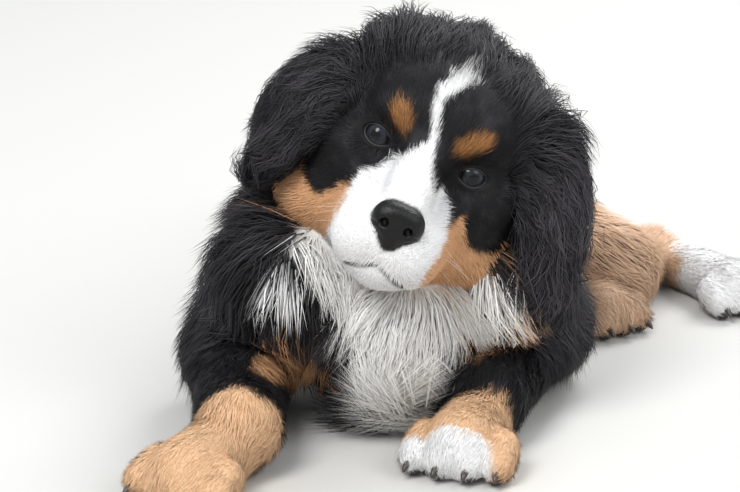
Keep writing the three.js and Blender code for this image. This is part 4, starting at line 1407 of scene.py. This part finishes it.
def skinMaterial():
    # hide under dense short hair: the coat's colour darkened as painted shade under the hair, broken by fine
    # hair about 0.5 mm apart
    made, tree, shader = material("shortHairOnHide", Roughness=0.7, Specular_IOR_Level=0.25)
    colour = node(tree, "ShaderNodeAttribute", {"attribute_name": "coatColour"})
    place = tree.nodes.new("ShaderNodeTexCoord")
    grain = node(tree, "ShaderNodeTexNoise", Vector=place.outputs["Object"], Scale=900.0, Detail=3.0)
    dark = node(tree, "ShaderNodeMix", {"data_type": "RGBA", "blend_type": "MULTIPLY"})
    dark.inputs[0].default_value = 0.5
    tree.links.new(colour.outputs["Color"], dark.inputs[6])
    tree.links.new(grain.outputs["Fac"], dark.inputs[7])
    tree.links.new(dark.outputs[2], shader.inputs["Base Color"])
    bump = node(tree, "ShaderNodeBump", Strength=0.5, Distance=0.0006, Height=grain.outputs["Fac"])
    tree.links.new(bump.outputs["Normal"], shader.inputs["Normal"])
    return made


def noseMaterial():
    # moist nose leather: black, cobbled with plates about 0.8 mm across, glossy on their crowns
    made, tree, shader = material(
        "moistNoseLeather",
        Base_Color=plain("#060606"),
        Roughness=0.3,
        Specular_IOR_Level=0.28,
    )
    place = tree.nodes.new("ShaderNodeTexCoord")
    plates = node(tree, "ShaderNodeTexVoronoi", Vector=place.outputs["Object"], Scale=1150.0)
    fine = node(tree, "ShaderNodeTexNoise", Vector=place.outputs["Object"], Scale=2600.0, Detail=2.0)
    cobbles = node(tree, "ShaderNodeMath", {"operation": "SUBTRACT"}, i0=fine.outputs["Fac"])
    tree.links.new(plates.outputs["Distance"], cobbles.inputs[1])
    bump = node(tree, "ShaderNodeBump", Strength=0.4, Distance=0.0003, Height=cobbles.outputs[0])
    tree.links.new(bump.outputs["Normal"], shader.inputs["Normal"])
    ramp = node(tree, "ShaderNodeMapRange", i0=fine.outputs["Fac"], i3=0.25, i4=0.45)
    tree.links.new(ramp.outputs[0], shader.inputs["Roughness"])
    return made


def eyeMaterial():
    # a live eye: dark brown iris with fine spokes, black pupil and a wet, clear front
    made, tree, shader = material(
        "wetPuppyEye",
        Roughness=0.4,
        Specular_IOR_Level=0.05,
        Coat_Weight=0.5,
        Coat_Roughness=0.02,
    )
    place = node(tree, "ShaderNodeAttribute", {"attribute_name": "irisPlace"})
    split = node(tree, "ShaderNodeSeparateXYZ", Vector=place.outputs["Vector"])
    flat = node(tree, "ShaderNodeCombineXYZ", X=split.outputs["X"], Y=split.outputs["Y"])
    out = node(tree, "ShaderNodeVectorMath", {"operation": "LENGTH"}, i0=flat.outputs[0])
    ramp = node(tree, "ShaderNodeValToRGB")
    scaled = node(tree, "ShaderNodeMath", {"operation": "DIVIDE"}, i1=head["eyeRadius"])
    tree.links.new(out.outputs["Value"], scaled.inputs[0])
    tree.links.new(scaled.outputs[0], ramp.inputs["Fac"])
    bands = ramp.color_ramp.elements
    bands[0].position, bands[0].color = 0.0, plain("#050506")
    bands[1].position, bands[1].color = 1.0, plain("#4a403d")
    tones = ((0.25, "#020203"), (0.31, "#191c21"), (0.5, "#25292f"), (0.64, "#060607"), (0.72, "#2b2422"))
    for position, tone in tones:
        bands.new(position).color = plain(tone)
    spokes = node(tree, "ShaderNodeVectorMath", {"operation": "NORMALIZE"}, i0=flat.outputs[0])
    grain = node(tree, "ShaderNodeTexNoise", Vector=spokes.outputs[0], Scale=14.0, Detail=4.0)
    blend = node(tree, "ShaderNodeMix", {"data_type": "RGBA", "blend_type": "SOFT_LIGHT"})
    blend.inputs[0].default_value = 0.6
    tree.links.new(ramp.outputs["Color"], blend.inputs[6])
    tree.links.new(grain.outputs["Fac"], blend.inputs[7])
    tree.links.new(blend.outputs[2], shader.inputs["Base Color"])
    return made


def rimMaterial():
    # the bare edge of the lids: black, moist skin
    made, tree, shader = material("moistLidSkin", Base_Color=plain("#0f0d0e"), Roughness=0.55)
    place = tree.nodes.new("ShaderNodeTexCoord")
    grain = node(tree, "ShaderNodeTexNoise", Vector=place.outputs["Object"], Scale=1800.0)
    bump = node(tree, "ShaderNodeBump", Strength=0.25, Distance=0.0002, Height=grain.outputs["Fac"])
    tree.links.new(bump.outputs["Normal"], shader.inputs["Normal"])
    return made


def hornMaterial():
    # claw horn: dark brown-grey, with faint lengthwise streaks, worn smooth
    made, tree, shader = material("clawHorn", Roughness=0.38)
    place = tree.nodes.new("ShaderNodeTexCoord")
    grain = node(tree, "ShaderNodeTexNoise", Vector=place.outputs["Object"], Scale=700.0, Detail=3.0)
    ramp = node(tree, "ShaderNodeValToRGB", Fac=grain.outputs["Fac"])
    ramp.color_ramp.elements[0].color = plain("#221d1b")
    ramp.color_ramp.elements[1].color = plain("#4c413b")
    tree.links.new(ramp.outputs["Color"], shader.inputs["Base Color"])
    return made


def padMaterial():
    # pad leather: thick, dry and pebbled, pebbles about 0.7 mm across
    made, tree, shader = material("padLeather", Roughness=0.65)
    place = tree.nodes.new("ShaderNodeTexCoord")
    pebbles = node(tree, "ShaderNodeTexVoronoi", Vector=place.outputs["Object"], Scale=1400.0)
    # painted shade: the colour darkens from each pebble's crown into the gaps between the pebbles
    ramp = node(tree, "ShaderNodeValToRGB", Fac=pebbles.outputs["Distance"])
    ramp.color_ramp.elements[0].color = plain("#3a3232")
    ramp.color_ramp.elements[1].color = plain("#1f1b1c")
    tree.links.new(ramp.outputs["Color"], shader.inputs["Base Color"])
    bump = node(tree, "ShaderNodeBump", {"invert": True}, Strength=0.5, Distance=0.0004)
    tree.links.new(pebbles.outputs["Distance"], bump.inputs["Height"])
    tree.links.new(bump.outputs["Normal"], shader.inputs["Normal"])
    return made


def whiskerMaterial():
    # stiff, pale whisker hair, smooth and a little shiny
    return material("whiskerHair", Base_Color=plain("#d8d2c8"), Roughness=0.35)[0]


fur = furMaterial()
hide = skinMaterial()


def finished(piece, surface, slotName, *replaced):
    piece.data.materials.clear()
    piece.data.materials.append(surface)
    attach(piece, "root")
    if replaced:
        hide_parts(*replaced)
    return piece


fleshNodes = ["head", "ear_right", "ear_left", "neck", "torso", "tail"]
for name in legs:
    ends = ("_upper_arm", "_forearm", "_paw") if name.startswith("front") else ("_thigh", "_shank", "_foot")
    fleshNodes += [name + end for end in ends]
inner = np.clip(1 - mouth(skinPoints) / 1.6, 0, 1)
# painted shade: the skin takes the coat's colour darkened, dark hair to half and pale hair less, as if in the
# shade under the coat
under = mix(0.5, 0.86, smooth(0.2, 0.6, grown["colour"].mean(axis=1)))[:, None]
skinColour = mix(grown["colour"] * under, linear(colours["lip"]), inner[:, None])
eyeEdge = smooth(1.2, 0.2, noseForm(skinPoints))
for s, opening in zip(sides, openings):
    eyeEdge += smooth(2.6, 0.8, opening(skinPoints)) * (lengths(skinPoints - eyeAt(s)) < 14)
skinColour = mix(skinColour, linear("#151315"), np.clip(eyeEdge, 0, 1)[:, None])
paint(skin, "coatColour", skinColour)
finished(skin, hide, "coat_black", *fleshNodes)

layForms = {
    "head": joined([bareHead, earForm[-1], earForm[1], neckForm], 6),
    "ear_right": earForm[-1],
    "ear_left": earForm[1],
    "neck": joined([bareHead, neckForm, torsoForm], 16),
    "torso": joined([neckForm, torsoForm] + [parts[name + "_upper"] for name in legs], 16),
    "tail": joined([tailForm, torsoForm], 16),
}
for name in legs:
    layForms[name] = joined([legOf(name), torsoForm], 12)


def coatPiece(name):
    own = coatPieces[name]
    roots = rootsOf(name)
    key = own["parts"][0]
    form = layForms[key if key in layForms else "_".join(key.split("_")[:2])]
    paths, outs, width = pathsOf(roots, form, own["rings"])
    seen = mix(paths[:, own["rings"] // 2], paths[:, -1], tuft["seen"][own["rings"] > 1])
    length = roots["values"][:, lengthIn]
    reach = tuft["stray"][0] + tuft["stray"][1] * length[:, None]
    colour = colourOf(seen + reach * random.standard_normal(seen.shape), roots["share"])
    return tuftMesh(name, paths, outs, width, length, colour, roots["uv"], own.get("shine", 1))


for name in coatPieces:
    piece = coatPiece(name)
    tan = name.startswith(("coat_foreleg", "coat_hind"))
    finished(piece, fur, "coat_tan" if tan else "coat_black")
    print("Coat:", name, len(piece.data.polygons), "faces")

finished(nosePad(), noseMaterial(), "nose_leather", "nose")
wetEye, lidSkin = eyeMaterial(), rimMaterial()
for s, sideName in sideNames.items():
    finished(eyeball(s), wetEye, "eye", "eye_" + sideName)
    finished(lidRim(s), lidSkin, "nose_leather")
horn, leather = hornMaterial(), padMaterial()
for name in legs:
    for piece, clawNode in clawsOf(name):
        finished(piece, horn, "claw", clawNode)
    finished(padsOf(name), leather, "nose_leather")
hair = whiskerMaterial()
finished(whiskers(hair), hair, "coat_tan")
print("Nose, eyes, claws, pads and whiskers ready")

# The stage: a pale floor and sky, and soft daylight from above and in front
stage = {
    "floor": "#c2c1bd",
    "floorHalf": 6,  # metres, half its width
    "floorLow": -0.0004,  # just under the paws
    "aim": 0.08,  # height that the lights point at
    "sky": "#e8ecf2",
    "skyStrength": 0.85,
    "lights": [
        ["key", (-0.9, -1.5, 2.0), 1.2, 53],
        ["fill", (1.5, -1.2, 1.6), 1.6, 20],
        ["back", (0.9, 1.3, 1.8), 1.4, 40],
    ],
}


def stageAndLights():
    mesh = bpy.data.meshes.new("floor")
    half, low = stage["floorHalf"], stage["floorLow"]
    corners = [(x * half, y * half, low) for x, y in ((-1, -1), (1, -1), (1, 1), (-1, 1))]
    mesh.from_pydata(corners, [], [(0, 1, 2, 3)])
    floor = placed("floor", mesh)
    floor.data.materials.append(material("paleFloor", Base_Color=plain(stage["floor"]), Roughness=0.9)[0])
    world = bpy.data.worlds.new("sky")
    world.use_nodes = True
    world.node_tree.nodes["Background"].inputs["Color"].default_value = plain(stage["sky"])
    world.node_tree.nodes["Background"].inputs["Strength"].default_value = stage["skyStrength"]
    bpy.context.scene.world = world
    for name, place, size, power in stage["lights"]:
        light = bpy.data.lights.new(name, "AREA")
        light.shape, light.size, light.energy = "DISK", size, power
        lamp = placed(name, light)
        lamp.location = place
        way = Vector((0, 0, stage["aim"])) - Vector(place)
        lamp.rotation_euler = way.to_track_quat("-Z", "Y").to_euler()


# The camera, where the photograph was taken from
view = {
    "place": [-28.1, -1333, 509.5],  # mm in the design
    "down": 17,  # degrees
    "focal": 2700,  # in pixels of a frame 740 wide
    "width": 740,
    "sensor": 36,
}


def camera():
    data = bpy.data.cameras.new("camera")
    data.sensor_width = view["sensor"]
    data.lens = view["focal"] / view["width"] * view["sensor"]
    made = placed("camera", data)
    made.location = toScene(view["place"])
    made.rotation_euler = (math.radians(90 - view["down"]), 0, 0)
    bpy.context.scene.camera = made


stageAndLights()
camera()
bpy.context.scene.view_settings.view_transform = "Standard"
print("Stage, lights and camera ready")
